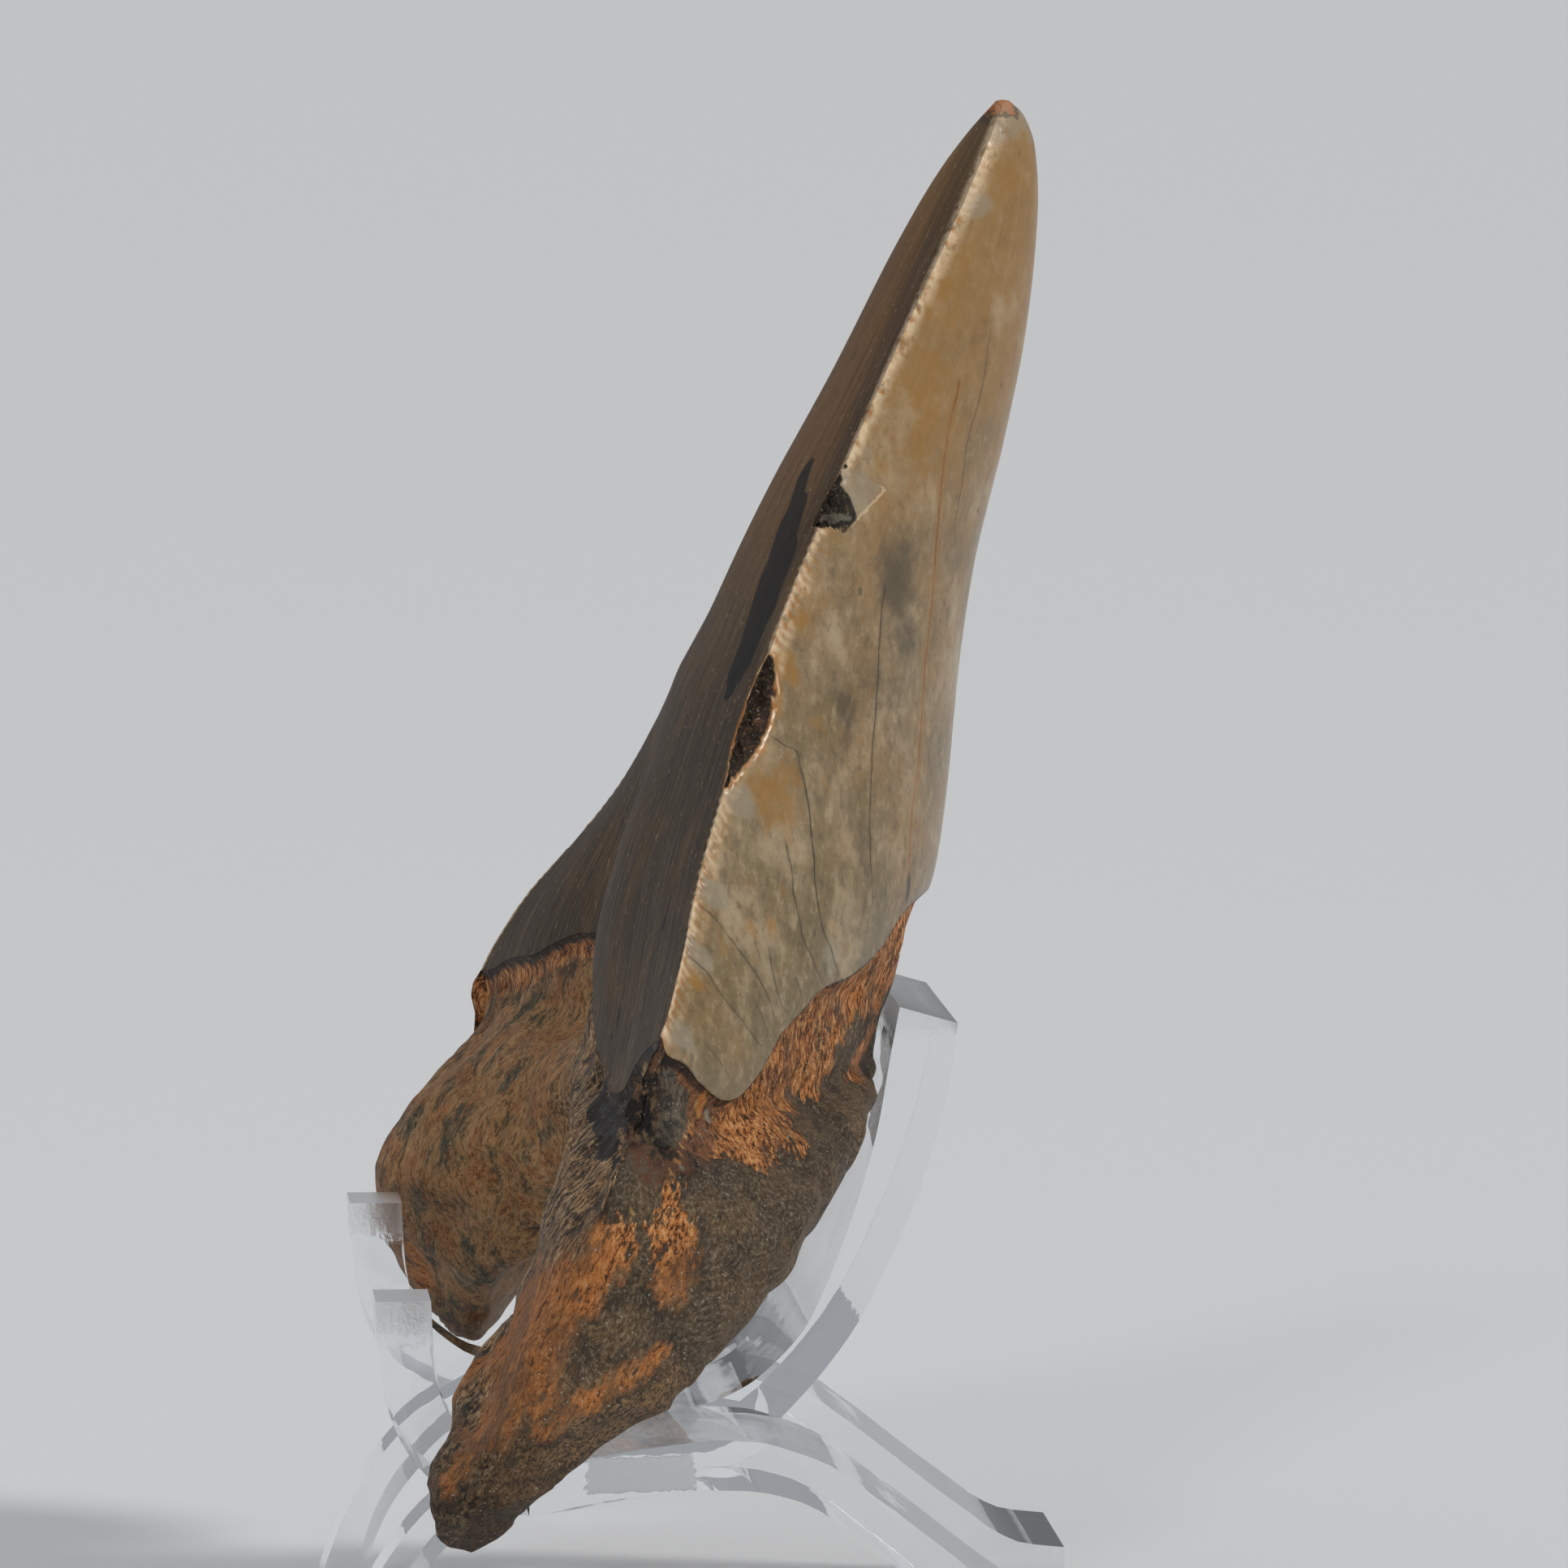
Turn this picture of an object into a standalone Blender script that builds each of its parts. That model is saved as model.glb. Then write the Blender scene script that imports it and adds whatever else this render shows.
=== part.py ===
"""A megalodon tooth leaning in a one-piece clear moulded display stand.

Metres, +Z up. The stand's feet are on Z = 0. The stand opens toward -Y (its two hooks) and its
back post rises at +Y. The tooth stands tip up, its labial face toward -Y, its two root lobes
astride the hooks and the swelling of its root against the post. Every table below is in
millimetres.
"""
import math

import bmesh
import bpy
import numpy as np

MM = 0.001
CENTRE_Y = 0.8          # mm taken off every y below, so that the origin is under the middle

# ---- tooth: driving dimensions (mm) ---------------------------------------------------------
TIP_Z = 94.4            # height of the worn tip above the table
SHOULDER_Z = 37.0       # height at which the cutting edges end
CROWN_SHARE = 0.6       # share of the rows that make the crown
CROWN_ROWS = 62         # rings from the tip to the shoulders
ROOT_ROWS = 26          # rings from the shoulders to the rim of the root
COLUMNS = 20            # steps across each face
NOTCH_DEPTH = 0.28      # depth of the coarse serrations
ENAMEL_STEP = 0.45      # height of the enamel's edge over the root

# half width of the crown by height
HALF_WIDTH = ([94.4, 93.6, 92, 90, 85, 80, 70, 60, 55, 50, 45, 41, 38.5, 37],
              [0.0, 1.7, 3.2, 4.5, 7.2, 9.7, 14.8, 20.3, 23.3, 26.8, 30.8, 34.3, 36.4, 37.0])
# where the +X and -X cutting edges run, front to back, by height
EDGE_NEAR = ([94.4, 93, 90, 86, 81, 75, 70, 64, 59, 55, 50, 45, 41, 37],
             [19.3, 18.5, 17.1, 15.1, 12.5, 9.5, 7.1, 4.3, 2.4, 0.8, -1.0, -2.4, -3.8, -5.4])
EDGE_FAR = ([94.4, 92.5, 90, 86, 82, 78, 72, 66, 61, 59, 55, 50, 46, 43, 40, 37],
            [19.0, 17.1, 15.8, 14.0, 12.2, 10.5, 8.1, 5.8, 3.2, 1.9, -0.3, -3.0, -5.9, -8.2, -9.9,
             -11.3])
# middle line of the lingual (back) face and of the labial (front) face, by height
BACK_LINE = ([94.4, 93.5, 91.5, 88.5, 85, 80, 74, 66, 60, 53, 50, 47.5, 45, 43, 40, 37],
             [19.5, 20.4, 21.1, 21.3, 21.1, 20.5, 19.3, 17.4, 16.5, 15.8, 15.4, 14.9, 13.9, 13.3,
              11.95, 11.2])
FRONT_LINE = ([94.4, 92.5, 90, 86, 78, 71, 67, 63, 59, 54, 49.5, 44, 40, 37],
              [18.8, 16.6, 15.1, 13.0, 9.0, 5.1, 3.1, 1.3, -0.6, -2.3, -3.9, -5.3, -5.9, -6.3])
# outline of the root: half width down the side, then the rim under both lobes and the arch
ROOT_HALF = ([0, 0.15, 0.35, 0.55, 0.75, 0.9, 1.0], [37, 38.2, 39.6, 40, 39.2, 37, 33.5])
LOBE_X = 33.5
RIM_NEAR = ([0, 8, 14, 20, 24, 26.8, 29, 31, 33.5],
            [27, 25.8, 23.5, 20, 17.7, 15.2, 13, 11.7, 11.2])
RIM_FAR = ([0, 8, 14, 20, 24, 26.8, 29, 31, 33.5], [27, 25.8, 23.8, 21, 19, 17.2, 15.4, 14.4, 14])
RIM_Y_NEAR = ([0, 10, 18, 24, 28, 33.5], [-1, -3.5, -8, -11.5, -13.5, -15.3])
RIM_Y_FAR = ([0, 10, 18, 24, 28, 33.5], [-1, -4, -8.5, -11, -11.5, -12])
# lower edge of the enamel, by share of the half width
ENAMEL_BACK = ([0, 0.26, 0.43, 0.55, 0.68, 0.75, 0.8, 0.86, 1.0], [45, 44.7, 43.8, 42.7, 41.9, 41, 38.6, 36, 35])
ENAMEL_FRONT = ([0, 0.3, 0.45, 0.6, 0.72, 0.85, 1.0], [44.5, 42.5, 39.5, 36.4, 36, 36.2, 36.8])
# broken places on the +X cutting edge: height, half height, depth
CHIPS = [(71.3, 1.7, 1.5), (59.2, 4.0, 1.5)]
CORNER = (38.5, 4.5, 1.3)   # worn corner of the +X shoulder: height, half height, depth

# ---- stand: driving dimensions (mm) ---------------------------------------------------------
STAND_HALF = 25.5       # half the width of the stand
POST_HALF = 11.4        # half the width of the back post
HOOK_WIDTH = 5.5
LEG_OUTER, LEG_INNER = 19.75, 14.25   # front legs, between these widths
OVERLAP = 0.6           # how far neighbouring strips run into each other
INSET = 0.06            # how far a buried strip stays under its neighbour's skin

BACK_LEG = [(-11.0, 14.75), (-8.7, 15.1), (-6.9, 15.5), (-3.9, 15.95), (-0.3, 16.4), (2.4, 16.25),
            (4.8, 15.6), (6.8, 14.8), (8.9, 13.3), (12.1, 10.9), (16.3, 7.6), (18.2, 6.2),
            (19.8, 5.0), (21.6, 4.2), (24.2, 3.9), (24.2, 0.0), (21.4, 0.0), (20.0, 0.9),
            (17.5, 2.9), (14.5, 5.4), (11.1, 8.4), (8.9, 10.1), (6.5, 11.9), (4.6, 12.8),
            (1.7, 13.35), (-0.3, 13.4), (-4.0, 13.1), (-6.7, 12.7), (-8.7, 12.3), (-11.0, 12.0)]
POST = [(-11.0, 14.7), (-8.7, 15.05), (-3.9, 15.9), (-0.3, 16.35), (0.7, 16.6), (1.9, 17.1),
        (3.2, 17.85), (4.3, 18.8), (5.4, 19.9), (6.4, 21.2), (7.2, 22.8), (8.5, 26.0),
        (9.7, 29.5), (10.7, 33.2), (11.4, 37.2), (12.0, 40.4), (15.5, 39.4), (15.2, 37.0),
        (14.4, 33.2), (13.0, 28.8), (11.8, 26.0), (10.3, 22.8), (9.3, 21.0), (7.8, 18.9),
        (6.2, 17.0), (4.4, 15.2), (2.6, 13.9), (1.0, 13.4), (-0.3, 13.45), (-4.0, 13.15),
        (-8.7, 12.35), (-11.0, 12.05)]
HOOK = [(-20.0, 24.8), (-19.9, 22.5), (-19.5, 19.2), (-18.7, 16.8), (-17.0, 14.4), (-14.4, 12.8),
        (-11.6, 12.1), (-9.5, 12.25), (-7.5, 12.65), (-7.5, 15.3), (-9.5, 15.0), (-11.5, 15.2),
        (-13.4, 15.9), (-15.2, 17.3), (-16.2, 19.2), (-16.6, 21.8), (-16.75, 24.8)]
FRONT_LEG = [(-22.6, 0.0), (-21.7, 3.1), (-20.5, 6.1), (-18.8, 9.0), (-16.6, 11.6), (-13.6, 13.6),
             (-10.0, 14.6), (-9.0, 14.6), (-9.0, 12.6), (-11.4, 12.2), (-13.8, 10.9),
             (-16.2, 8.6), (-17.9, 6.2), (-19.1, 3.2), (-19.7, 0.0)]


# ---- small mathematics ----------------------------------------------------------------------
def curve(x, table):
    """Smooth line through a table's points that never overshoots them."""
    xs, ys = (np.asarray(v, float) for v in table)
    if xs[0] > xs[-1]:
        xs, ys = xs[::-1], ys[::-1]
    gap, slope = np.diff(xs), np.diff(ys) / np.diff(xs)
    tangent = np.empty_like(ys)
    tangent[0], tangent[-1] = slope[0], slope[-1]
    first, second = 2 * gap[1:] + gap[:-1], gap[1:] + 2 * gap[:-1]
    rising = slope[:-1] * slope[1:] > 0
    safe_a = np.where(rising, slope[:-1], 1.0)
    safe_b = np.where(rising, slope[1:], 1.0)
    tangent[1:-1] = np.where(rising, (first + second) / (first / safe_a + second / safe_b), 0.0)
    x = np.clip(x, xs[0], xs[-1])
    k = np.clip(np.searchsorted(xs, x) - 1, 0, len(xs) - 2)
    u = (x - xs[k]) / gap[k]
    return ((1 + 2 * u) * (1 - u) ** 2 * ys[k] + u * (1 - u) ** 2 * gap[k] * tangent[k]
            + u * u * (3 - 2 * u) * ys[k + 1] + u * u * (u - 1) * gap[k] * tangent[k + 1])


def ease(x):
    """0 below 0, 1 above 1, smooth between."""
    x = np.clip(x, 0.0, 1.0)
    return x * x * (3 - 2 * x)


def hump(x, centre, width):
    """Bell of height 1."""
    return np.exp(-((x - centre) / width) ** 2)


# ---- the tooth's surface --------------------------------------------------------------------
def crown_and_root(across, down):
    """Mid surface of the tooth: its x, y, z and how far down the root each point is."""
    in_crown = down <= CROWN_SHARE
    height = TIP_Z + (SHOULDER_Z - TIP_Z) * np.clip(down / CROWN_SHARE, 0, 1) ** 1.35
    root = np.clip((down - CROWN_SHARE) / (1 - CROWN_SHARE), 0, 1)
    rim_x = LOBE_X * np.abs(across)
    rim_z = np.where(across >= 0, curve(rim_x, RIM_NEAR), curve(rim_x, RIM_FAR))
    rim_y = np.where(across >= 0, curve(rim_x, RIM_Y_NEAR), curve(rim_x, RIM_Y_FAR))
    near, far = curve(height, EDGE_NEAR), curve(height, EDGE_FAR)
    middle = far + (near - far) * (across + 1) / 2
    x = across * np.where(in_crown, curve(height, HALF_WIDTH), curve(root, ROOT_HALF))
    y = np.where(in_crown, middle, middle + (rim_y - middle) * root)
    z = np.where(in_crown, height, SHOULDER_Z + (rim_z - SHOULDER_Z) * root)
    return x, y, z, root, (near + far) / 2, in_crown


def thickness(across, down, back):
    """How far the back (or front) face stands off the mid surface."""
    x, y, z, root, centre, in_crown = crown_and_root(across, down)
    side = np.abs(across)
    stations = [0, 0.25, 0.5, 0.7, 0.85, 1]
    if back:
        crown = curve(z, BACK_LINE) - centre
        start = BACK_LINE[1][-1] - (EDGE_NEAR[1][-1] + EDGE_FAR[1][-1]) / 2
        middle = curve(root, (stations, [start, 16.9, 15.6, 13.2, 11.4, 8.5]))
        lobe = curve(root, ([0, 0.25, 0.5, 0.68, 0.78, 0.9, 1],
                            [start, 16.1, 14.7, 12.2, 7.6, 5.7, 4.0]))
        power = 1.75 + 5.0 * ease(root / 0.35)
    else:
        crown = centre - curve(z, FRONT_LINE)
        start = (EDGE_NEAR[1][-1] + EDGE_FAR[1][-1]) / 2 - FRONT_LINE[1][-1]
        middle = curve(root, (stations, [start, 0.3, 0.5, 1, 2, 3]))
        near = curve(root, ([0, 0.25, 0.5, 0.7, 0.78, 0.85, 1],
                            [start, 2.2, 2.7, 3.7, 5.5, 6.8, 7.5]))
        far = curve(root, ([0, 0.12, 0.25, 0.5, 0.7, 0.85, 1], [start, 1.4, 3.7, 7.4, 8.8, 7.5, 6]))
        lobe = far + (near - far) * ease((across + 0.4) / 0.8)
        power = 1.9 + 5.0 * ease(root / 0.35)
    depth = np.where(in_crown, crown, middle + (lobe - middle) * ease(side / 0.75))
    sides = np.clip(1 - side ** power, 1e-6, 1)
    rim = np.where(in_crown, 1.0, np.clip(1 - root ** 3, 1e-6, 1))
    closing = ((sides ** -4 + rim ** -4 - 1) ** -0.25) ** (1 - 0.5 * ease(root / 0.35))
    closing = np.where((side >= 1) | (root >= 1), 0.0, closing)
    depth = depth * closing
    if not back:
        low = ease((60 - z) / 16) * np.where(in_crown, 1.0, np.clip(1 - root * 1.2, 0, 1))
        swell = 0.9 * hump(across, 0.22, 0.26) - 2.6 * hump(across, -0.38, 0.24)
        depth = depth + low * swell * np.clip((1 - side) * 6, 0, 1)
    return depth, closing


def root_relief(x, z, back):
    """Lumps and long grooves of the bony root, in mm."""
    turn = 1.7 if back else 0.0
    lumps = 0.30 * np.sin(0.55 * x + 0.9 * z + turn) * np.sin(0.42 * z - 0.31 * x + 2 * turn)
    lumps += 0.22 * np.sin(1.15 * x - 0.35 * z + turn) * np.sin(0.8 * z + 0.6 * x)
    grooves = 0.22 * np.sin(1.5 * x + 0.25 * z) * (0.4 if back else 1.0)
    return lumps + grooves


def relief(across, down, x, z, back):
    """Enamel edge, root lumps and the foramen pit, as a change of thickness in mm."""
    side = np.abs(across)
    edge = curve(side, ENAMEL_BACK if back else ENAMEL_FRONT)
    on_root = ease((edge - z) / 0.8 + 0.5)
    change = -ENAMEL_STEP * on_root * np.clip((1 - side) * 8, 0, 1)
    change += on_root * root_relief(x, z, back)
    if back:
        change -= 0.9 * hump(x, 0.5, 1.6) * hump(z, 33.5, 1.8)
    return change


def face_points(across, down, back):
    """Points of one face of the tooth, in mm."""
    x, y, z, root, centre, in_crown = crown_and_root(across, down)
    depth, closing = thickness(across, down, back)
    depth = depth + relief(across, down, x, z, back) * np.clip(closing * 2.5, 0, 1)
    bite = np.zeros_like(x)
    for height, half, deep in CHIPS:
        bite += deep * np.clip(1.25 - np.abs(z - height) / half, 0, 1) * in_crown
    height, half, deep = CORNER
    bite += deep * np.clip(1.2 - np.abs(z - height) / half, 0, 1) ** 0.7
    near_edge = ease((across - 0.80) / 0.16)
    x = x - bite * near_edge
    return x, np.where(back, y + depth, y - depth), z


def tooth_rings():
    """Closed rings from the tip down: front face from -X to +X, then the back face."""
    even = np.linspace(-1, 1, COLUMNS + 1)
    across = 0.45 * even + 0.55 * np.sin(even * math.pi / 2)
    crown = np.linspace(0.012, CROWN_SHARE, CROWN_ROWS, endpoint=False)
    root = CROWN_SHARE + (1 - CROWN_SHARE) * np.sin(np.linspace(0, math.pi / 2, ROOT_ROWS))
    down = np.concatenate([crown, root])
    a, d = np.meshgrid(across, down)
    front = np.stack(face_points(a, d, False), -1)
    back = np.stack(face_points(a, d, True), -1)
    notch = NOTCH_DEPTH * (np.arange(len(down)) % 2) * ease((down - 0.03) / 0.05)
    notch = notch * (down < CROWN_SHARE)
    for face in (front, back):
        face[:, 0, 0] += notch
        face[:, -1, 0] -= notch
    back[-1] = front[-1]
    return np.concatenate([front, back[:, -2:0:-1]], axis=1)


def make_tooth(material):
    """Loft between the rings, a point at the tip and a shared rim under the root."""
    rings = (tooth_rings() - np.array([0, CENTRE_Y, 0])) * MM
    rows, count = rings.shape[:2]
    mesh = bmesh.new()
    points = [[mesh.verts.new(p) for p in ring] for ring in rings]
    tip = mesh.verts.new((rings[0].mean(axis=0) + np.array([0, 0, 0.00035])).tolist())
    for j in range(count):
        k = (j + 1) % count
        mesh.faces.new((tip, points[0][j], points[0][k]))
        for i in range(rows - 1):
            a, b, c, d = points[i][j], points[i + 1][j], points[i + 1][k], points[i][k]
            mesh.faces.new((a, b, c))
            mesh.faces.new((a, c, d))
    bmesh.ops.remove_doubles(mesh, verts=mesh.verts, dist=1e-6)
    bmesh.ops.dissolve_degenerate(mesh, dist=1e-6, edges=mesh.edges)
    bmesh.ops.triangulate(mesh, faces=mesh.faces)
    bmesh.ops.recalc_face_normals(mesh, faces=mesh.faces)
    return finish(mesh, "tooth", material)


# ---- the stand ------------------------------------------------------------------------------
def finish(mesh, name, material):
    """Turn a bmesh into a named, smooth-shaded object."""
    data = bpy.data.meshes.new(name)
    mesh.to_mesh(data)
    mesh.free()
    data.shade_smooth()
    data.set_sharp_from_angle(angle=math.radians(35))
    data.materials.append(material)
    return bpy.data.objects.new(name, data)


def strip(name, outline, low, high, collection):
    """A side profile (y, z) extruded along X from low to high, as a closed mesh object."""
    drawing = bpy.data.curves.new(name, "CURVE")
    drawing.dimensions = "2D"
    drawing.fill_mode = "BOTH"
    drawing.extrude = (high - low) / 2 * MM
    line = drawing.splines.new("POLY")
    line.points.add(len(outline) - 1)
    line.use_cyclic_u = True
    for point, (y, z) in zip(line.points, outline):
        point.co = ((y - CENTRE_Y) * MM, z * MM, 0, 1)
    holder = bpy.data.objects.new(name, drawing)
    holder.rotation_euler = (math.radians(90), 0, math.radians(90))
    holder.location = ((low + high) / 2 * MM, 0, 0)
    collection.objects.link(holder)
    bpy.context.view_layer.update()
    graph = bpy.context.evaluated_depsgraph_get()
    data = bpy.data.meshes.new_from_object(holder.evaluated_get(graph))
    place = holder.matrix_world.copy()
    bpy.data.objects.remove(holder, do_unlink=True)
    solid = bmesh.new()
    solid.from_mesh(data)
    solid.transform(place)
    bmesh.ops.remove_doubles(solid, verts=solid.verts, dist=1e-6)
    bmesh.ops.recalc_face_normals(solid, faces=solid.faces)
    solid.to_mesh(data)
    solid.free()
    piece = bpy.data.objects.new(name, data)
    piece.hide_render = True
    piece.display_type = "WIRE"
    collection.objects.link(piece)
    return piece


def make_stand(material, collection, tools):
    """Join the strips of the moulding: two outer strips with the back legs, the middle strip
    with the post, two hooks and two front legs."""
    outer = [strip(f"outer_{n}", BACK_LEG, low, high, tools) for n, low, high in (
        ("near", POST_HALF, STAND_HALF), ("far", -STAND_HALF, -POST_HALF))]
    rest = [strip("post", POST, -POST_HALF - OVERLAP, POST_HALF + OVERLAP, tools)]
    for n, sign in (("near", 1), ("far", -1)):
        a, b = sorted((sign * (STAND_HALF - HOOK_WIDTH), sign * (STAND_HALF - INSET)))
        rest.append(strip(f"hook_{n}", HOOK, a, b, tools))
        a, b = sorted((sign * LEG_INNER, sign * LEG_OUTER))
        rest.append(strip(f"front_leg_{n}", FRONT_LEG, a, b, tools))
    body = outer[0]
    stand = bpy.data.objects.new("stand", body.data.copy())
    collection.objects.link(stand)
    for piece in [outer[1]] + rest:
        joint = stand.modifiers.new(piece.name, "BOOLEAN")
        joint.operation = "UNION"
        joint.solver = "EXACT"
        joint.object = piece
    graph = bpy.context.evaluated_depsgraph_get()
    data = bpy.data.meshes.new_from_object(stand.evaluated_get(graph))
    bpy.data.objects.remove(stand, do_unlink=True)
    solid = bmesh.new()
    solid.from_mesh(data)
    bmesh.ops.remove_doubles(solid, verts=solid.verts, dist=2e-6)
    bmesh.ops.dissolve_degenerate(solid, dist=2e-6, edges=solid.edges)
    bmesh.ops.triangulate(solid, faces=solid.faces)
    bmesh.ops.recalc_face_normals(solid, faces=solid.faces)
    data.materials.clear()
    return finish(solid, "stand", material)


# ---- materials and scene --------------------------------------------------------------------
def make_material(name, colour, roughness, clear=0.0):
    """A Principled material; `clear` is its transmission."""
    material = bpy.data.materials.new(name)
    material.use_nodes = True
    shader = material.node_tree.nodes["Principled BSDF"]
    shader.inputs["Base Color"].default_value = (*colour, 1)
    shader.inputs["Roughness"].default_value = roughness
    shader.inputs["Metallic"].default_value = 0.0
    shader.inputs["Transmission Weight"].default_value = clear
    shader.inputs["IOR"].default_value = 1.49
    return material


def main():
    for old in list(bpy.data.objects):
        bpy.data.objects.remove(old, do_unlink=True)
    parts = bpy.data.collections.new("megalodon tooth on stand")
    tools = bpy.data.collections.new("strips")
    bpy.context.scene.collection.children.link(parts)
    bpy.context.scene.collection.children.link(tools)
    fossil = make_material("fossil tooth", (0.33, 0.24, 0.15), 0.35)
    clear = make_material("clear plastic", (0.95, 0.97, 0.98), 0.05, clear=1.0)
    parts.objects.link(make_tooth(fossil))
    parts.objects.link(make_stand(clear, parts, tools))


main()
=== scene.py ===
"""Looks of a fossil megalodon tooth that stands tip up in a one-piece clear display stand.

The tooth is one closed skin worked out row by row from the tip down, with its serrations, chips,
enamel ledge and bony relief. What its finish has to know about a place, such as the distance from
the cutting edge, is kept at each point of the skin. The stand is the outer skin of the strips that
the moulding is made of. Lengths in the tables are in millimetres.
"""
import math

import bpy
import numpy as np
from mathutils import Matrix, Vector

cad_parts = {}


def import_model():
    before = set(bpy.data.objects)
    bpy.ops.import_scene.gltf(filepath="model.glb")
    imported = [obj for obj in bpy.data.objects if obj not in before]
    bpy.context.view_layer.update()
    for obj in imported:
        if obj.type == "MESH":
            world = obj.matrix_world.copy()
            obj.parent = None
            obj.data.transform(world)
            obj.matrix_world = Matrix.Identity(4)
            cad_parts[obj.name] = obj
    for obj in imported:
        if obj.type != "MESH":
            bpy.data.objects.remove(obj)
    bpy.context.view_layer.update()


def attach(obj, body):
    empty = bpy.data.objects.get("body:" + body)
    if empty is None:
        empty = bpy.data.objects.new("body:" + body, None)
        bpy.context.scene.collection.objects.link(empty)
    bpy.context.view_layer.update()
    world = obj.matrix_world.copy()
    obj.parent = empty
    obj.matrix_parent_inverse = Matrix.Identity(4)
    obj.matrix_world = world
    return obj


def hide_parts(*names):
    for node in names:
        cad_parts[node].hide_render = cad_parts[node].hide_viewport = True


MM = 0.001
CENTRE_Y = 0.8          # mm taken off every y of the tables, so that the origin is under the middle

# ---- tooth: the forms of the solid (mm) -----------------------------------------------------
TIP_Z = 94.4
SHOULDER_Z = 37.0
CROWN_SHARE = 0.6       # of the way down from the tip to the rim of the root
TIP_CROWDING = 1.35     # power by which rows of the crown lie closer near the tip
HALF_WIDTH = ([94.4, 93.6, 92, 90, 85, 80, 70, 60, 55, 50, 45, 41, 38.5, 37],
              [0.0, 1.7, 3.2, 4.5, 7.2, 9.7, 14.8, 20.3, 23.3, 26.8, 30.8, 34.3, 36.4, 37.0])
EDGE_NEAR = ([94.4, 93, 90, 86, 81, 75, 70, 64, 59, 55, 50, 45, 41, 37],
             [19.3, 18.5, 17.1, 15.1, 12.5, 9.5, 7.1, 4.3, 2.4, 0.8, -1.0, -2.4, -3.8, -5.4])
EDGE_FAR = ([94.4, 92.5, 90, 86, 82, 78, 72, 66, 61, 59, 55, 50, 46, 43, 40, 37],
            [19.0, 17.6, 16.1, 14.0, 12.2, 10.5, 8.1, 5.8, 3.2, 1.9, -0.3, -3.0, -5.9, -8.2, -9.9,
             -11.3])
BACK_LINE = ([94.4, 93.5, 91.5, 88.5, 85, 80, 74, 66, 60, 53, 50, 47.5, 45, 43, 40, 37],
             [19.5, 20.4, 21.1, 21.3, 21.1, 20.5, 19.3, 17.4, 16.5, 15.8, 15.4, 14.9, 13.9, 13.3,
              11.95, 11.2])
FRONT_LINE = ([94.4, 92.5, 90, 86, 78, 71, 67, 63, 59, 54, 49.5, 44, 40, 37],
              [18.8, 17.2, 15.4, 13.1, 9.0, 5.1, 3.1, 1.3, -0.6, -2.3, -3.9, -5.3, -5.9, -6.3])
ROOT_HALF = ([0, 0.15, 0.35, 0.55, 0.75, 0.9, 1.0], [37, 38.2, 39.6, 40, 39.2, 37, 33.5])
LOBE_X = 33.5           # x of the rim at its ends
RIM_NEAR = ([0, 8, 14, 20, 24, 26.8, 29, 31, 33.5],
            [27, 25.8, 23.5, 20, 17.7, 15.2, 13, 11.7, 11.2])
RIM_FAR = ([0, 8, 14, 20, 24, 26.8, 29, 31, 33.5], [27, 25.8, 23.8, 21, 19, 17.2, 15.4, 14.4, 14])
RIM_Y_NEAR = ([0, 10, 18, 24, 28, 33.5], [-1, -3.5, -8, -11.5, -13.5, -15.3])
RIM_Y_FAR = ([0, 10, 18, 24, 28, 33.5], [-1, -4, -8.5, -11, -11.5, -12])

# ---- tooth: what only the finished skin has -------------------------------------------------
CROWN_ROWS = 440        # rows from the tip to the lower edge of the enamel
ROOT_ROWS = 108         # rows from there to the rim under the root
COLUMNS = 88            # steps across each face
EVEN_ACROSS = 0.15      # share of even spacing across; the rest crowds toward the edges
EVEN_ROOT = 0.35        # the same down the root, toward the rim
GRAIN_RADIUS = 30       # mm, of the circle that the way round a row is laid on
SERRATIONS = 96         # down each cutting edge
SERRATION_DEPTH = 0.2
PLAIN_TIP = 0.035       # share of each cutting edge, at the tip, without serrations
FACET_DEPTH = 0.16      # of the shallow facet beside the upper chip
TIP_CAP = 0.06          # height of the rounded tip over the first row
LEDGE = 0.5             # height of the enamel over the root
WIDEST = 39.98          # the solid is 40 mm to each side
# lower edge of the enamel on the back (lingual) and front (labial) face: share across, height
ENAMEL_BACK = ([-1, -0.95, -0.88, -0.8, -0.74, -0.66, -0.54, -0.42, -0.26, 0, 0.26, 0.34, 0.38,
                0.44, 0.5, 0.55, 0.6, 0.63, 0.655, 0.69, 0.701, 0.712, 0.724, 0.75, 0.78, 0.81,
                0.84, 0.876, 0.91, 0.94, 0.97, 1],
               [37.6, 36.2, 36.4, 37.9, 39.8, 41.4, 42.6, 44.2, 46.2, 46.8, 46.5, 45.7, 44.5,
                43.6, 43.0, 42.7, 42.6, 42.2, 41.3, 40.6, 40.2, 39.4, 38.4, 37.4, 36.9, 37.0,
                37.5, 38.2, 38.9, 39.6, 40.2, 41.2])
ENAMEL_FRONT = ([-1, -0.95, -0.83, -0.71, -0.61, -0.54, -0.4, -0.2, 0, 0.15, 0.3, 0.43, 0.53,
                 0.61, 0.67, 0.74, 0.88, 1],
                [37.6, 37.8, 39.1, 39.8, 41.2, 41.9, 42.3, 43.2, 43.4, 41.6, 38.4, 37, 36.5,
                 36.6, 37.3, 38.8, 40.3, 41.2])
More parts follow.
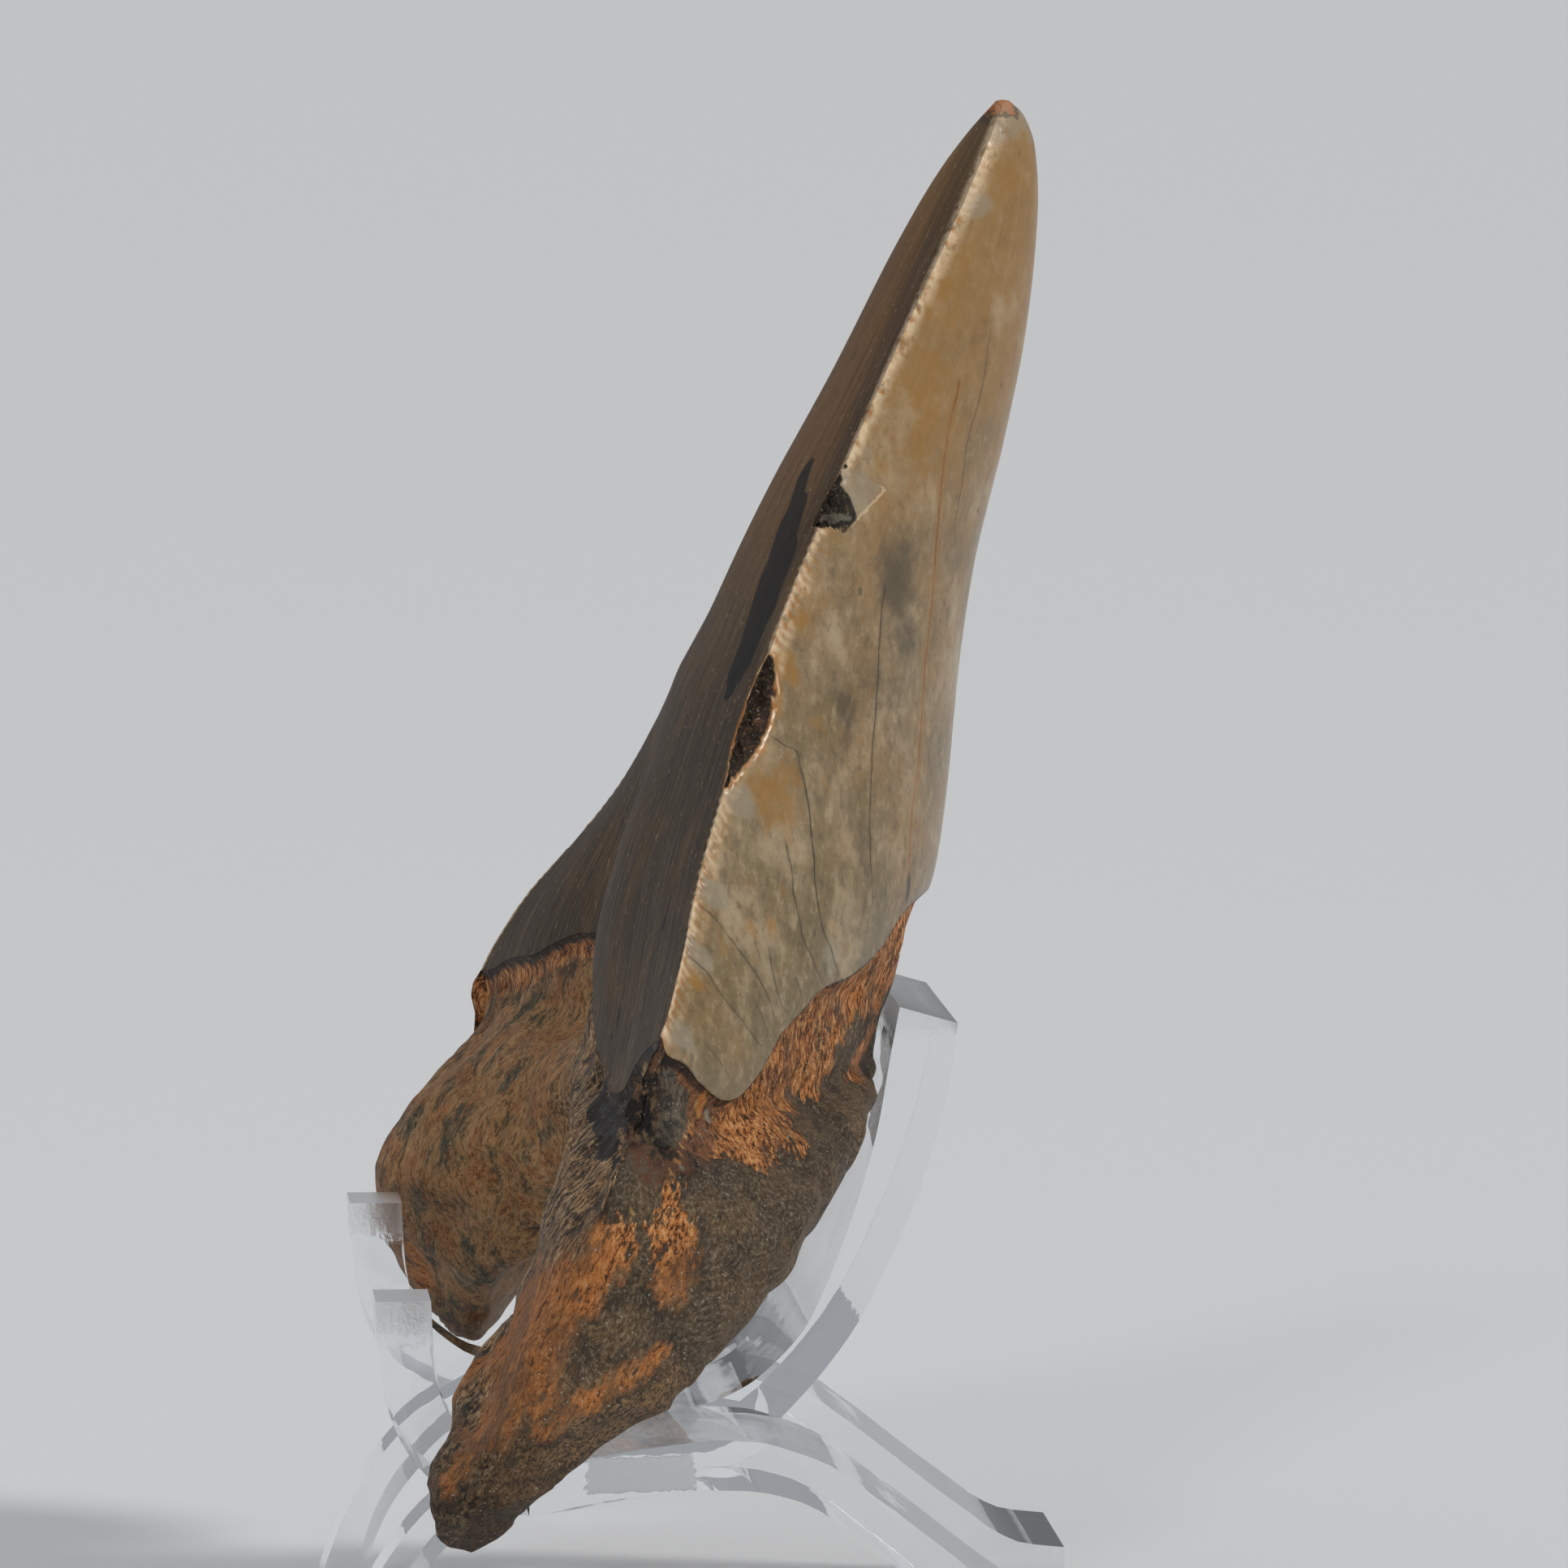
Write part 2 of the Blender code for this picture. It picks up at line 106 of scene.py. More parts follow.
# how far out the +X edge may reach, by height, where it is broken: chips and the worn corner
UPPER_CHIP = ([69.3, 69.45, 70.2, 71.5, 73.2, 73.3], [30, 13.75, 13.6, 13.2, 12.9, 30])
LOWER_CHIP = ([54.3, 54.7, 55.6, 56.6, 58.0, 59.5, 61.0, 62.4, 63.0],
              [30, 23.2, 22.3, 21.2, 20.1, 19.3, 18.9, 18.75, 30])
WORN_CORNER = ([31.5, 33.5, 35.5, 37.5, 39.5, 41.3, 41.6], [41, 38.0, 36.6, 35.6, 34.9, 34.0, 60])
# outline of the shallow facet beside the upper chip, (x, z)
FACET = [(13.6, 69.2), (14.6, 72.4), (13.0, 72.95), (12.6, 72.75), (11.35, 71.55), (12.7, 70.05)]
# dark broken triangle inside it, (x, z)
BITE = [(14.2, 68.9), (13.4, 72.8), (13.1, 71.3), (12.75, 70.5), (12.95, 69.75), (13.6, 69.2)]
# the same on the -X side: three small nicks
FAR_NICKS = ([46, 46.2, 47.5, 48.6, 66, 66.2, 67.2, 68.3, 79.0, 79.2, 79.9, 80.6],
             [60, 29.2, 28.3, 60, 60, 16.3, 15.7, 60, 60, 9.8, 9.5, 60])


# ---- small mathematics ----------------------------------------------------------------------
def curve(x, table):
    """Smooth line through a table's points that never overshoots them: a cubic between each two
    points, with the harmonic mean of the neighbouring slopes as its slope at each point."""
    xs, ys = (np.asarray(v, float) for v in table)
    if xs[0] > xs[-1]:
        xs, ys = xs[::-1], ys[::-1]
    gap, slope = np.diff(xs), np.diff(ys) / np.diff(xs)
    tangent = np.empty_like(ys)
    tangent[0], tangent[-1] = slope[0], slope[-1]
    first, second = 2 * gap[1:] + gap[:-1], gap[1:] + 2 * gap[:-1]
    rising = slope[:-1] * slope[1:] > 0
    safe_a = np.where(rising, slope[:-1], 1.0)
    safe_b = np.where(rising, slope[1:], 1.0)
    tangent[1:-1] = np.where(rising, (first + second) / (first / safe_a + second / safe_b), 0.0)
    x = np.clip(x, xs[0], xs[-1])
    k = np.clip(np.searchsorted(xs, x) - 1, 0, len(xs) - 2)
    u = (x - xs[k]) / gap[k]
    return ((1 + 2 * u) * (1 - u) ** 2 * ys[k] + u * (1 - u) ** 2 * gap[k] * tangent[k]
            + u * u * (3 - 2 * u) * ys[k + 1] + u * u * (u - 1) * gap[k] * tangent[k + 1])


def line(points, count):
    """The smooth line through points (y, z), resampled at equal steps of its chord length."""
    points = np.asarray(points, float)
    along = np.concatenate([[0], np.cumsum(np.linalg.norm(np.diff(points, axis=0), axis=1))])
    u = np.linspace(0, along[-1], count)
    return np.stack([curve(u, (along, points[:, 0])), curve(u, (along, points[:, 1]))], -1)


def ease(x):
    """0 below 0, 1 above 1, smooth between."""
    x = np.clip(x, 0.0, 1.0)
    return x * x * (3 - 2 * x)


def hump(x, centre, width):
    """Bell of height 1."""
    return np.exp(-((x - centre) / width) ** 2)


LATTICE = np.random.default_rng(7).random((32, 32, 32)) * 2 - 1


def lumps(points, size):
    """Smooth lumps between -1 and 1: a fixed random value at each node of a lattice with the
    given spacing, blended between nodes with a smooth step along each axis."""
    place = np.asarray(points) / size
    cell = np.floor(place).astype(int)
    u = place - cell
    u = u * u * (3 - 2 * u)
    total = np.zeros(place.shape[:-1])
    for i in (0, 1):
        for j in (0, 1):
            for k in (0, 1):
                weight = (np.abs(1 - i - u[..., 0]) * np.abs(1 - j - u[..., 1])
                          * np.abs(1 - k - u[..., 2]))
                total += weight * LATTICE[(cell[..., 0] + i) % 32, (cell[..., 1] + j) % 32,
                                          (cell[..., 2] + k) % 32]
    return total


# ---- the tooth's surface --------------------------------------------------------------------
def at_rim(across, near, far):
    """A measure of the root's rim: one table holds for the +X half, the other for the -X half."""
    x = LOBE_X * np.abs(across)
    return np.where(across >= 0, curve(x, near), curve(x, far))


def crown_and_root(across, down):
    """Mid surface of the tooth: its x, y, z and how far down the root each point is. Across runs
    from -1 to 1 between the cutting edges, down from 0 at the tip to 1 at the rim of the root."""
    in_crown = down <= CROWN_SHARE
    height = TIP_Z + (SHOULDER_Z - TIP_Z) * np.clip(down / CROWN_SHARE, 0, 1) ** TIP_CROWDING
    root = np.clip((down - CROWN_SHARE) / (1 - CROWN_SHARE), 0, 1)
    rim_z = at_rim(across, RIM_NEAR, RIM_FAR)
    rim_y = at_rim(across, RIM_Y_NEAR, RIM_Y_FAR)
    near, far = curve(height, EDGE_NEAR), curve(height, EDGE_FAR)
    middle = far + (near - far) * (across + 1) / 2
    x = across * np.where(in_crown, curve(height, HALF_WIDTH), curve(root, ROOT_HALF))
    y = np.where(in_crown, middle, middle + (rim_y - middle) * root)
    z = np.where(in_crown, height, SHOULDER_Z + (rim_z - SHOULDER_Z) * root)
    return x, y, z, root, (near + far) / 2, in_crown


def thickness(across, down, back):
    """How far the back (or front) face stands off the mid surface."""
    _, _, z, root, centre, in_crown = crown_and_root(across, down)
    side = np.abs(across)
    stations = [0, 0.25, 0.5, 0.7, 0.85, 1]
    if back:
        crown = curve(z, BACK_LINE) - centre
        start = BACK_LINE[1][-1] - (EDGE_NEAR[1][-1] + EDGE_FAR[1][-1]) / 2
        middle = curve(root, (stations, [start, 16.9, 15.6, 13.2, 11.4, 8.5]))
        lobe = curve(root, ([0, 0.25, 0.5, 0.68, 0.78, 0.9, 1],
                            [start, 16.1, 14.7, 12.2, 7.6, 5.7, 4.0]))
        power = 1.75 + 5.0 * ease(root / 0.35)
    else:
        crown = centre - curve(z, FRONT_LINE)
        start = (EDGE_NEAR[1][-1] + EDGE_FAR[1][-1]) / 2 - FRONT_LINE[1][-1]
        middle = curve(root, (stations, [start, 0.3, 0.5, 1, 2, 3]))
        near = curve(root, ([0, 0.25, 0.5, 0.7, 0.78, 0.85, 1],
                            [start, 2.2, 2.7, 3.7, 5.5, 6.8, 7.5]))
        far = curve(root, ([0, 0.12, 0.25, 0.5, 0.7, 0.85, 1], [start, 1.4, 3.7, 7.4, 8.8, 7.5, 6]))
        lobe = far + (near - far) * ease((across + 0.4) / 0.8)
        power = 1.9 + 5.0 * ease(root / 0.35)
    depth = np.where(in_crown, crown, middle + (lobe - middle) * ease(side / 0.75))
    sides = np.clip(1 - side ** power, 1e-6, 1)
    below = np.where(in_crown, 1.0, np.clip(1 - root ** 3, 1e-6, 1))
    closing = ((sides ** -4 + below ** -4 - 1) ** -0.25) ** (1 - 0.5 * ease(root / 0.35))
    closing = np.where((side >= 1) | (root >= 1), 0.0, closing)
    depth = depth * closing
    if not back:
        low = ease((60 - z) / 16) * np.where(in_crown, 1.0, np.clip(1 - root * 1.2, 0, 1))
        swell = 0.9 * hump(across, 0.22, 0.26) - 2.6 * hump(across, -0.38, 0.24)
        depth = depth + low * swell * np.clip((1 - side) * 6, 0, 1)
    return depth


def down_of_height(across, height):
    """The place down the tooth at which the mid surface has a height."""
    share = np.clip((TIP_Z - height) / (TIP_Z - SHOULDER_Z), 0, 1)
    crown = CROWN_SHARE * share ** (1 / TIP_CROWDING)
    rim_z = at_rim(across, RIM_NEAR, RIM_FAR)
    root = CROWN_SHARE + (1 - CROWN_SHARE) * (SHOULDER_Z - height) / (SHOULDER_Z - rim_z)
    return np.where(height >= SHOULDER_Z, crown, root)


def crowded(even, share):
    """Even steps drawn toward their end: a share of them plus the rest of a quarter sine."""
    return share * even + (1 - share) * np.sin(even * math.pi / 2)


def skin_grid():
    """Across and down for every point of both faces. The columns crowd toward the cutting edges.
    The rows are evenly spaced along the +X cutting edge and bend so that one of them follows the
    lower edge of the enamel. Returns across, down front, down back and the row's place along
    the cutting edge, 0 at the tip and 1 at the end of the enamel."""
    across = crowded(np.linspace(-1, 1, COLUMNS + 1), EVEN_ACROSS)
    at_end = down_of_height(1.0, ENAMEL_BACK[1][-1])
    fine = np.linspace(0.0, at_end, 4000)
    x, y, z = (np.diff(part) for part in crown_and_root(np.ones_like(fine), fine)[:3])
    path = np.concatenate([[0], np.cumsum(np.sqrt(x ** 2 + y ** 2 + z ** 2))])
    along = (np.arange(CROWN_ROWS) + 0.6) / (CROWN_ROWS - 0.4)
    crown = np.interp(along * path[-1], path, fine) / at_end
    even = np.arange(1, ROOT_ROWS + 1) / ROOT_ROWS
    root = crowded(even, EVEN_ROOT)
    sheets = []
    for table in (ENAMEL_FRONT, ENAMEL_BACK):
        border = down_of_height(across, curve(across, table))
        sheets.append(np.concatenate([crown[:, None] * border[None, :],
                                      border + root[:, None] * (1 - border)[None, :]]))
    return across, sheets[0], sheets[1], np.concatenate([along, 1 + even])


def outward(points):
    """Unit normals of a closed ring grid (rows, ring, 3), from differences along rows and ring."""
    down = np.gradient(points, axis=0)
    ring = np.roll(points, -1, axis=1) - np.roll(points, 1, axis=1)
    normal = np.cross(ring, down)
    normal /= np.maximum(np.linalg.norm(normal, axis=-1, keepdims=True), 1e-9)
    return -normal


def near_line(points, start, end, weights=(1, 1, 1)):
    """Distance from each point to a straight line between two places; a weight of 0 leaves an
    axis out."""
    weights = np.array(weights, float)
    a, b = np.array(start, float) * weights, np.array(end, float) * weights
    p = points * weights
    share = np.clip(((p - a) @ (b - a)) / max(float((b - a) @ (b - a)), 1e-9), 0, 1)
    return np.linalg.norm(p - a - share[..., None] * (b - a), axis=-1)


def within(points, corners):
    """How far each point lies inside an outline with no dents, seen along Y, in mm: its (x, z)
    corners are given in turn, anticlockwise. Outside it is less than 0."""
    corners = np.array(corners, float)
    best = np.full(points.shape[:-1], 9.0)
    for (ax, az), (bx, bz) in zip(corners, np.roll(corners, -1, axis=0)):
        length = math.hypot(bx - ax, bz - az)
        inward = ((bx - ax) * (points[..., 2] - az) - (bz - az) * (points[..., 0] - ax)) / length
        best = np.minimum(best, inward)
    return best


def both_faces():
    """The plain tooth, one closed ring per row: along the front from -X to +X and back along the
    back. Returns the points, the share across, the height over the lower edge of the enamel,
    the face (-1 front, 1 back, 0 on the cutting edges, which belong to both) and the row."""
    across, down_front, down_back, row = skin_grid()
    faces = []
    for down, table, back in ((down_front, ENAMEL_FRONT, False), (down_back, ENAMEL_BACK, True)):
        s = np.broadcast_to(across, down.shape)
        x, y, z = crown_and_root(s, down)[:3]
        depth = thickness(s, down, back)
        y = y + depth if back else y - depth
        slope = np.gradient(curve(across, table)) / np.maximum(np.gradient(across) * 36, 1e-3)
        border = (z - curve(s, table)) / np.sqrt(1 + np.clip(slope, -1.2, 1.2) ** 2)
        faces.append(np.stack([x, y, z, s, border, np.full_like(x, 1.0 if back else -1.0)], -1))
    front, back = faces
    back[-1, :, :3] = front[-1, :, :3]
    ring = np.concatenate([front, back[:, -2:0:-1]], axis=1)
    points, s, border, face = ring[..., :3].copy(), ring[..., 3], ring[..., 4], ring[..., 5].copy()
    face[:, 0] = face[:, COLUMNS] = 0
    return points, s, border, face, np.broadcast_to(row[:, None], s.shape)


def along_surface(points):
    """Coordinates for grain, in mm: the way round each row laid on a circle, from the +X edge,
    and the way down from the tip."""
    steps = np.linalg.norm(np.roll(points, -1, axis=1) - points, axis=-1)
    around = np.cumsum(steps, axis=1) - steps
    around = around - around[:, COLUMNS:COLUMNS + 1]
    angle = 2 * math.pi * around / steps.sum(axis=1, keepdims=True)
    rows = np.linalg.norm(np.diff(points, axis=0, prepend=points[:1]), axis=-1)
    return np.stack([GRAIN_RADIUS * np.cos(angle), GRAIN_RADIUS * np.sin(angle),
                     np.cumsum(rows, axis=0)], -1)


def relief(points, s, border, face, edge, grain):
    """How far the finished surface stands off the plain one, in mm along the normal: the root
    lies a ledge lower than the enamel and has waves, lumps, fibres and pits; the worn corner is
    lumpy; the enamel has faint flutes. Numbers added to points only pick other lumps."""
    on_root = ease(-border / 0.3)
    below = np.clip(-border, 0, None)
    change = -LEDGE * on_root * np.exp(-below / 5.0)
    x, z = points[..., 0], points[..., 2]
    turn = np.where(face > 0, 1.7, 0.0)
    bony = 0.2 * np.sin(0.55 * x + 0.9 * z + turn) * np.sin(0.42 * z - 0.31 * x + 2 * turn)
    bony += 0.12 * np.sin(1.15 * x - 0.35 * z + turn) * np.sin(0.8 * z + 0.6 * x)
    bony += 0.22 * lumps(points, 3.1) + 0.13 * lumps(points + 40, 1.5)
    bony += 0.08 * lumps(grain * [1, 1, 0.3], 1.1) * np.where(face < 0, 1.4, 1.0)
    bony -= 0.35 * ease((lumps(points + 90, 2.3) - 0.42) / 0.3)
    change += on_root * ease(below / 1.5) * (bony - 0.15)
    # a pore in the middle of the back
    change -= 0.9 * hump(x, 0.5, 1.6) * hump(z, 33.5, 1.8) * (face > 0)
    at_corner = ease((x - 31) / 2) * ease((s - 0.8) / 0.1) * hump(z, 36.5, 4.5)
    change += at_corner * (0.45 * lumps(points + 71, 1.5) + 0.2 * lumps(points + 63, 0.7))
    flutes = 0.02 * lumps(grain * [1, 1, 0.05], 2.6) * ease((86 - z) / 20)
    return change + (1 - on_root) * flutes * ease(edge / 1.5)


def serrate(points, s, face, rows, edge):
    """Cuts the serrations into the points: rounded notches of the edge that run a little way
    onto both faces, uneven, and worn near the tip. Returns how deep in a notch each row is."""
    phase = rows * SERRATIONS + 0.35 * lumps(np.stack([rows * 60, s * 3, s * 0], -1), 1.0)
    wave = 0.5 - 0.5 * np.cos(2 * math.pi * phase)
    on_crown = ease((rows - PLAIN_TIP) / 0.04) * (rows <= 1)
    uneven = np.clip(0.7 + 0.9 * lumps(np.stack([rows * 37, s * 2, s * 0 + 5], -1), 1.0), 0.1, 1.4)
    height = points[..., 2]
    worn = 0.45 + 0.55 * ease((84 - height) / 14)
    bite = SERRATION_DEPTH * wave * uneven * on_crown * worn
    points[..., 0] -= np.sign(s) * bite * np.exp(-(edge / 0.4) ** 2)
    furrow = 0.025 + 0.05 * ease((80 - height) / 28)
    reach = 0.3 + 0.4 * ease((76 - height) / 24)
    furrow = furrow * wave * uneven * on_crown * np.exp(-((edge - reach) / reach) ** 2)
    points[..., 1] -= face * furrow
    return wave * on_crown


def break_off(points, s, face):
    """Sinks the facet and takes off what stands further out than the chips, the worn corner and
    the nicks allow. Returns how far inside a break, and inside the facet, each point lies."""
    facet, bitten = (within(points, outline) * (face > 0) + (face <= 0) * -9.0
                     for outline in (FACET, BITE))
    points[..., 1] -= FACET_DEPTH * ease((facet + 0.04) / 0.08)
    rough = 0.16 * lumps(points + 11, 0.7) + 0.10 * lumps(points + 23, 0.33)
    broken = np.full_like(s, -1.0)
    for (heights, reach), side, deep, scoop, width in (
            (UPPER_CHIP, 1, 1.0, 0.4, 1.0), (LOWER_CHIP, 1, 1.0, 0.4, 1.0),
            (WORN_CORNER, 1, 2.2, 0.4, 1.0), (FAR_NICKS, -1, 1.0, 0.3, 0.8)):
        limit = np.interp(points[..., 2], heights, reach, left=60, right=60) + rough * deep
        over = np.where(side * s > 0.5, side * points[..., 0] - limit, -1)
        points[..., 0] -= side * (np.clip(over, 0, None) + scoop * ease((over - 0.2) / width))
        broken = np.maximum(broken, over)
    return np.maximum(broken, bitten + 0.12), facet


def tooth_skin():
    """Points of the finished skin, their share across and what the finish needs to know about
    each of them."""
    points, s, border, face, rows = both_faces()
    half = np.where(rows <= 1, curve(points[..., 2], HALF_WIDTH), 38.0)
    edge = (1 - np.abs(s)) * half
    grain = along_surface(points)
    change = relief(points, s, border, face, edge, grain)
    points = points + outward(points) * change[..., None]
    notch = serrate(points, s, face, rows, edge)
    broken, facet = break_off(points, s, face)
    points[..., 0] = np.clip(points[..., 0], -WIDEST, WIDEST)
    points[-1, COLUMNS + 1:] = points[-1, COLUMNS - 1:0:-1]
    return points, s, {"border": border, "edge": edge, "face": face,
                       "broken": np.clip(broken, -1, 2), "facet": np.clip(facet, -2, 2),
                       "notch": notch, "grain": grain}


def inside(points, marks, weights, keep):
    """How far each point lies inside the nearest of some round-ended marks, in mm: each mark is
    (start, end, half width). Outside it is less than 0."""
    best = np.full(points.shape[:-1], -20.0)
    for start, end, radius in marks:
        best = np.maximum(best, radius - near_line(points, start, end, weights))
    return np.where(keep, best, -20.0)


# ---- where the tooth's markings lie (mm, in the frame of the tables above) ------------------
# cracks of the back face: points (height, x), and how dark each crack is
BACK_CRACKS = [
    ([(62, -19.2), (54, -22.0), (47, -24.0), (41.5, -27.0)], 0.6),
    ([(74, -10.2), (66, -12.6), (58, -14.6), (50, -17.6), (44, -18.6)], 0.8),
    ([(70, -5.8), (60, -7.4), (52, -8.6), (46, -8.2)], 0.5),
    ([(81, -0.6), (72, -0.4), (63, 0.4), (55, 0.2), (48.5, -0.9)], 0.35),
    ([(80.8, 4.9), (76.3, 5.5), (73.7, 6.1), (68.6, 6.1)], 0.5),
    ([(66, 11.6), (59.6, 12.7), (55.5, 13.6), (50.5, 14.5), (46.9, 14.7)], 0.8),
    ([(57.7, 20.3), (56.9, 19.5), (56.2, 18.8), (53.1, 18.9), (50.5, 19.3), (47.3, 19.9),
      (44.6, 19.0), (43.0, 18.3)], 0.85),
    ([(51.5, 21.0), (49.3, 21.2), (47.8, 21.6), (46.4, 21.6), (44.2, 20.9), (42.6, 20.1)], 0.75),
    ([(44.0, 23.0), (42.0, 22.2)], 0.5),
    ([(45.6, 24.4), (43.9, 24.6), (42.4, 24.4), (41.2, 23.5)], 0.6),
    ([(48.4, 27.8), (47.8, 27.4), (46, 26.8), (44, 25.9), (42.9, 25.5), (41.0, 24.9)], 0.65),
    ([(42.9, 26.7), (41.7, 26.2), (40.4, 25.6)], 0.45),
    ([(45.7, 30.0), (44.7, 29.4), (43.3, 29.0), (42.0, 28.2), (40.7, 27.2), (39.6, 26.3)], 0.65),
    ([(41.0, 31.4), (39.5, 30.4), (37.9, 29.2)], 0.35),
]
RUST_CRACK = [(78, 6.9), (71.2, 7.8), (65, 7.55), (60.6, 8.1), (55, 8.8), (49.2, 9.9), (46.2, 9.7)]
FRONT_CRACKS = [
    ([(76, -8.2), (64, -10.4), (52, -13.4), (44, -14.0)], 0.6),
    ([(84, -1.4), (70, -2.6), (58, -1.2), (46, -1.8)], 0.7),
    ([(66, 9.6), (56, 10.8), (45, 12.8)], 0.45),
]
# soft dark clouds under the back enamel: centre (x, z), half sizes, strength
BACK_CLOUDS = [((10.7, 66.0), (1.5, 3.0), 1.0), ((10.0, 62.6), (1.3, 1.8), 0.8),
               ((15.2, 58.4), (0.8, 2.0), 0.9), ((12.4, 60.0), (2.6, 3.6), 0.45),
               ((15.1, 50.5), (0.9, 3.0), 0.55), ((9.6, 66.8), (2.6, 3.2), 0.4),
               ((5.2, 80.0), (1.2, 3.0), 0.35), ((24.6, 45.0), (1.4, 1.6), 0.3),
               ((-6.5, 71.0), (1.5, 3.6), 0.6), ((-15.5, 55.5), (1.8, 3.0), 0.7),
               ((-3.2, 58.0), (1.2, 2.6), 0.4), ((-24.5, 47.5), (1.6, 1.8), 0.5)]
# clear blue-grey spots beside the edge: centre (x, z), half sizes
CLEAR_SPOTS = [((5.0, 88.3), (0.75, 0.85)), ((22.9, 54.0), (0.8, 1.2)),
               ((13.45, 69.95), (0.35, 0.3)), ((32.7, 41.2), (0.9, 1.0)),
               ((29.3, 45.6), (0.7, 1.1)), ((26.6, 48.9), (0.8, 1.0)), ((19.2, 44.2), (0.7, 1.3)),
               ((-12.2, 74.2), (0.8, 1.4)), ((-28.2, 46.2), (0.9, 1.2))]
# amber patches of the back face, given as the clouds are
BACK_AMBER = [((9.0, 75.6), (1.3, 4.5), 0.7), ((18.2, 61.5), (0.5, 1.0), 1.6),
              ((19.6, 59.6), (0.9, 0.9), 0.8), ((17.4, 57.6), (2.2, 1.4), 0.3),
              ((16.9, 64.1), (0.7, 0.7), 0.9), ((21.0, 54.0), (1.5, 2.2), 0.9),
              ((25.2, 46.6), (0.4, 0.6), 0.9), ((23.9, 46.7), (0.4, 0.7), 0.9),
              ((30.3, 44.0), (0.5, 0.6), 1.0), ((8.2, 78.8), (0.8, 1.0), 0.7),
              ((7.6, 83.5), (2.2, 4.0), 0.5), ((3.6, 90.0), (1.4, 2.2), 0.5),
              ((19.8, 55.2), (1.2, 1.2), 0.7), ((11.6, 73.5), (0.7, 2.4), 0.5),
              ((27.5, 45.5), (1.2, 2.4), 0.3), ((-9.0, 66.0), (2.0, 5.0), 0.6),
              ((-19.5, 52.0), (2.2, 2.4), 0.7), ((1.5, 74.0), (1.6, 6.0), 0.35),
              ((-4.6, 82.4), (1.0, 2.0), 0.6), ((-26.0, 43.0), (1.2, 1.5), 0.6)]
# the long dark stain of the front face, and smaller ones: (start, end, half width), as are all
# the marks that follow
FRONT_STAINS = [((7.4, 0, 72.4), (9.8, 0, 69.8), 0.8), ((9.8, 0, 69.8), (12.2, 0, 67.0), 1.5),
                ((12.2, 0, 67.0), (14.2, 0, 64.0), 1.9), ((14.2, 0, 64.0), (15.0, 0, 61.6), 1.7),
                ((15.0, 0, 61.6), (15.4, 0, 60.0), 0.8),
                ((15.7, 0, 39.4), (15.6, 0, 40.6), 0.55), ((22.0, 0, 46.5), (21.6, 0, 48.0), 0.3),
                ((3.2, 0, 79.6), (3.4, 0, 78.6), 0.12)]
# black gaps in the orange band of the back
BAND_GAPS = [((17.9, 0, 40.3), (16.6, 0, 38.6), 0.4), ((15.2, 0, 41.0), (15.0, 0, 40.0), 0.45),
             ((15.0, 0, 40.1), (13.4, 0, 39.5), 0.25), ((16.6, 0, 38.8), (16.3, 0, 37.0), 0.35),
             ((21.5, 0, 37.4), (21.0, 0, 35.4), 0.3), ((4.0, 0, 41.6), (2.8, 0, 39.8), 0.4),
             ((-11.0, 0, 40.6), (-12.2, 0, 38.4), 0.4), ((-22.0, 0, 37.6), (-22.6, 0, 35.6), 0.35)]
# orange patches of the root: on the outer sides of the +X and -X lobe (y, z), then on the back
# and front face (x, z)
SIDE_ORANGE = [((0, -6.6, 30.0), (0, -9.6, 26.9), 1.4), ((0, -9.6, 26.9), (0, -12.3, 21.8), 1.7),
               ((0, -12.3, 21.8), (0, -13.6, 18.4), 0.9), ((0, -10.6, 24.0), (0, -10.4, 21.2), 0.9),
               ((0, -3.0, 30.4), (0, -3.2, 27.4), 1.15), ((0, -3.0, 33.0), (0, -3.3, 30.6), 0.45),
               ((0, -4.2, 23.3), (0, -8.9, 20.4), 0.55), ((0, -8.9, 20.4), (0, -10.6, 19.0), 0.35),
               ((0, -14.9, 18.0), (0, -16.4, 15.4), 0.55)]
FAR_ORANGE = [((0, -9.5, 33.0), (0, -13.0, 27.0), 2.2), ((0, -4.0, 31.0), (0, -7.0, 24.0), 1.6),
              ((0, -13.0, 22.0), (0, -15.0, 19.0), 1.4), ((0, 1.0, 29.0), (0, 0.0, 25.0), 1.1)]
BACK_ORANGE = [((9.0, 0, 39.0), (13.0, 0, 36.0), 1.0), ((-12.0, 0, 34.0), (-16.0, 0, 30.0), 1.6),
               ((-25.0, 0, 28.0), (-27.0, 0, 23.0), 1.5), ((6.0, 0, 31.0), (8.5, 0, 29.0), 0.8),
               ((22.5, 0, 25.0), (25.5, 0, 22.0), 0.7)]
FRONT_ORANGE = [((20.0, 0, 31.0), (24.0, 0, 27.5), 0.9), ((29.0, 0, 22.0), (31.0, 0, 16.0), 1.0),
                ((-30.0, 0, 24.0), (-31.0, 0, 19.0), 1.6),
                ((-33.0, 0, 33.0), (-34.0, 0, 29.0), 1.2)]
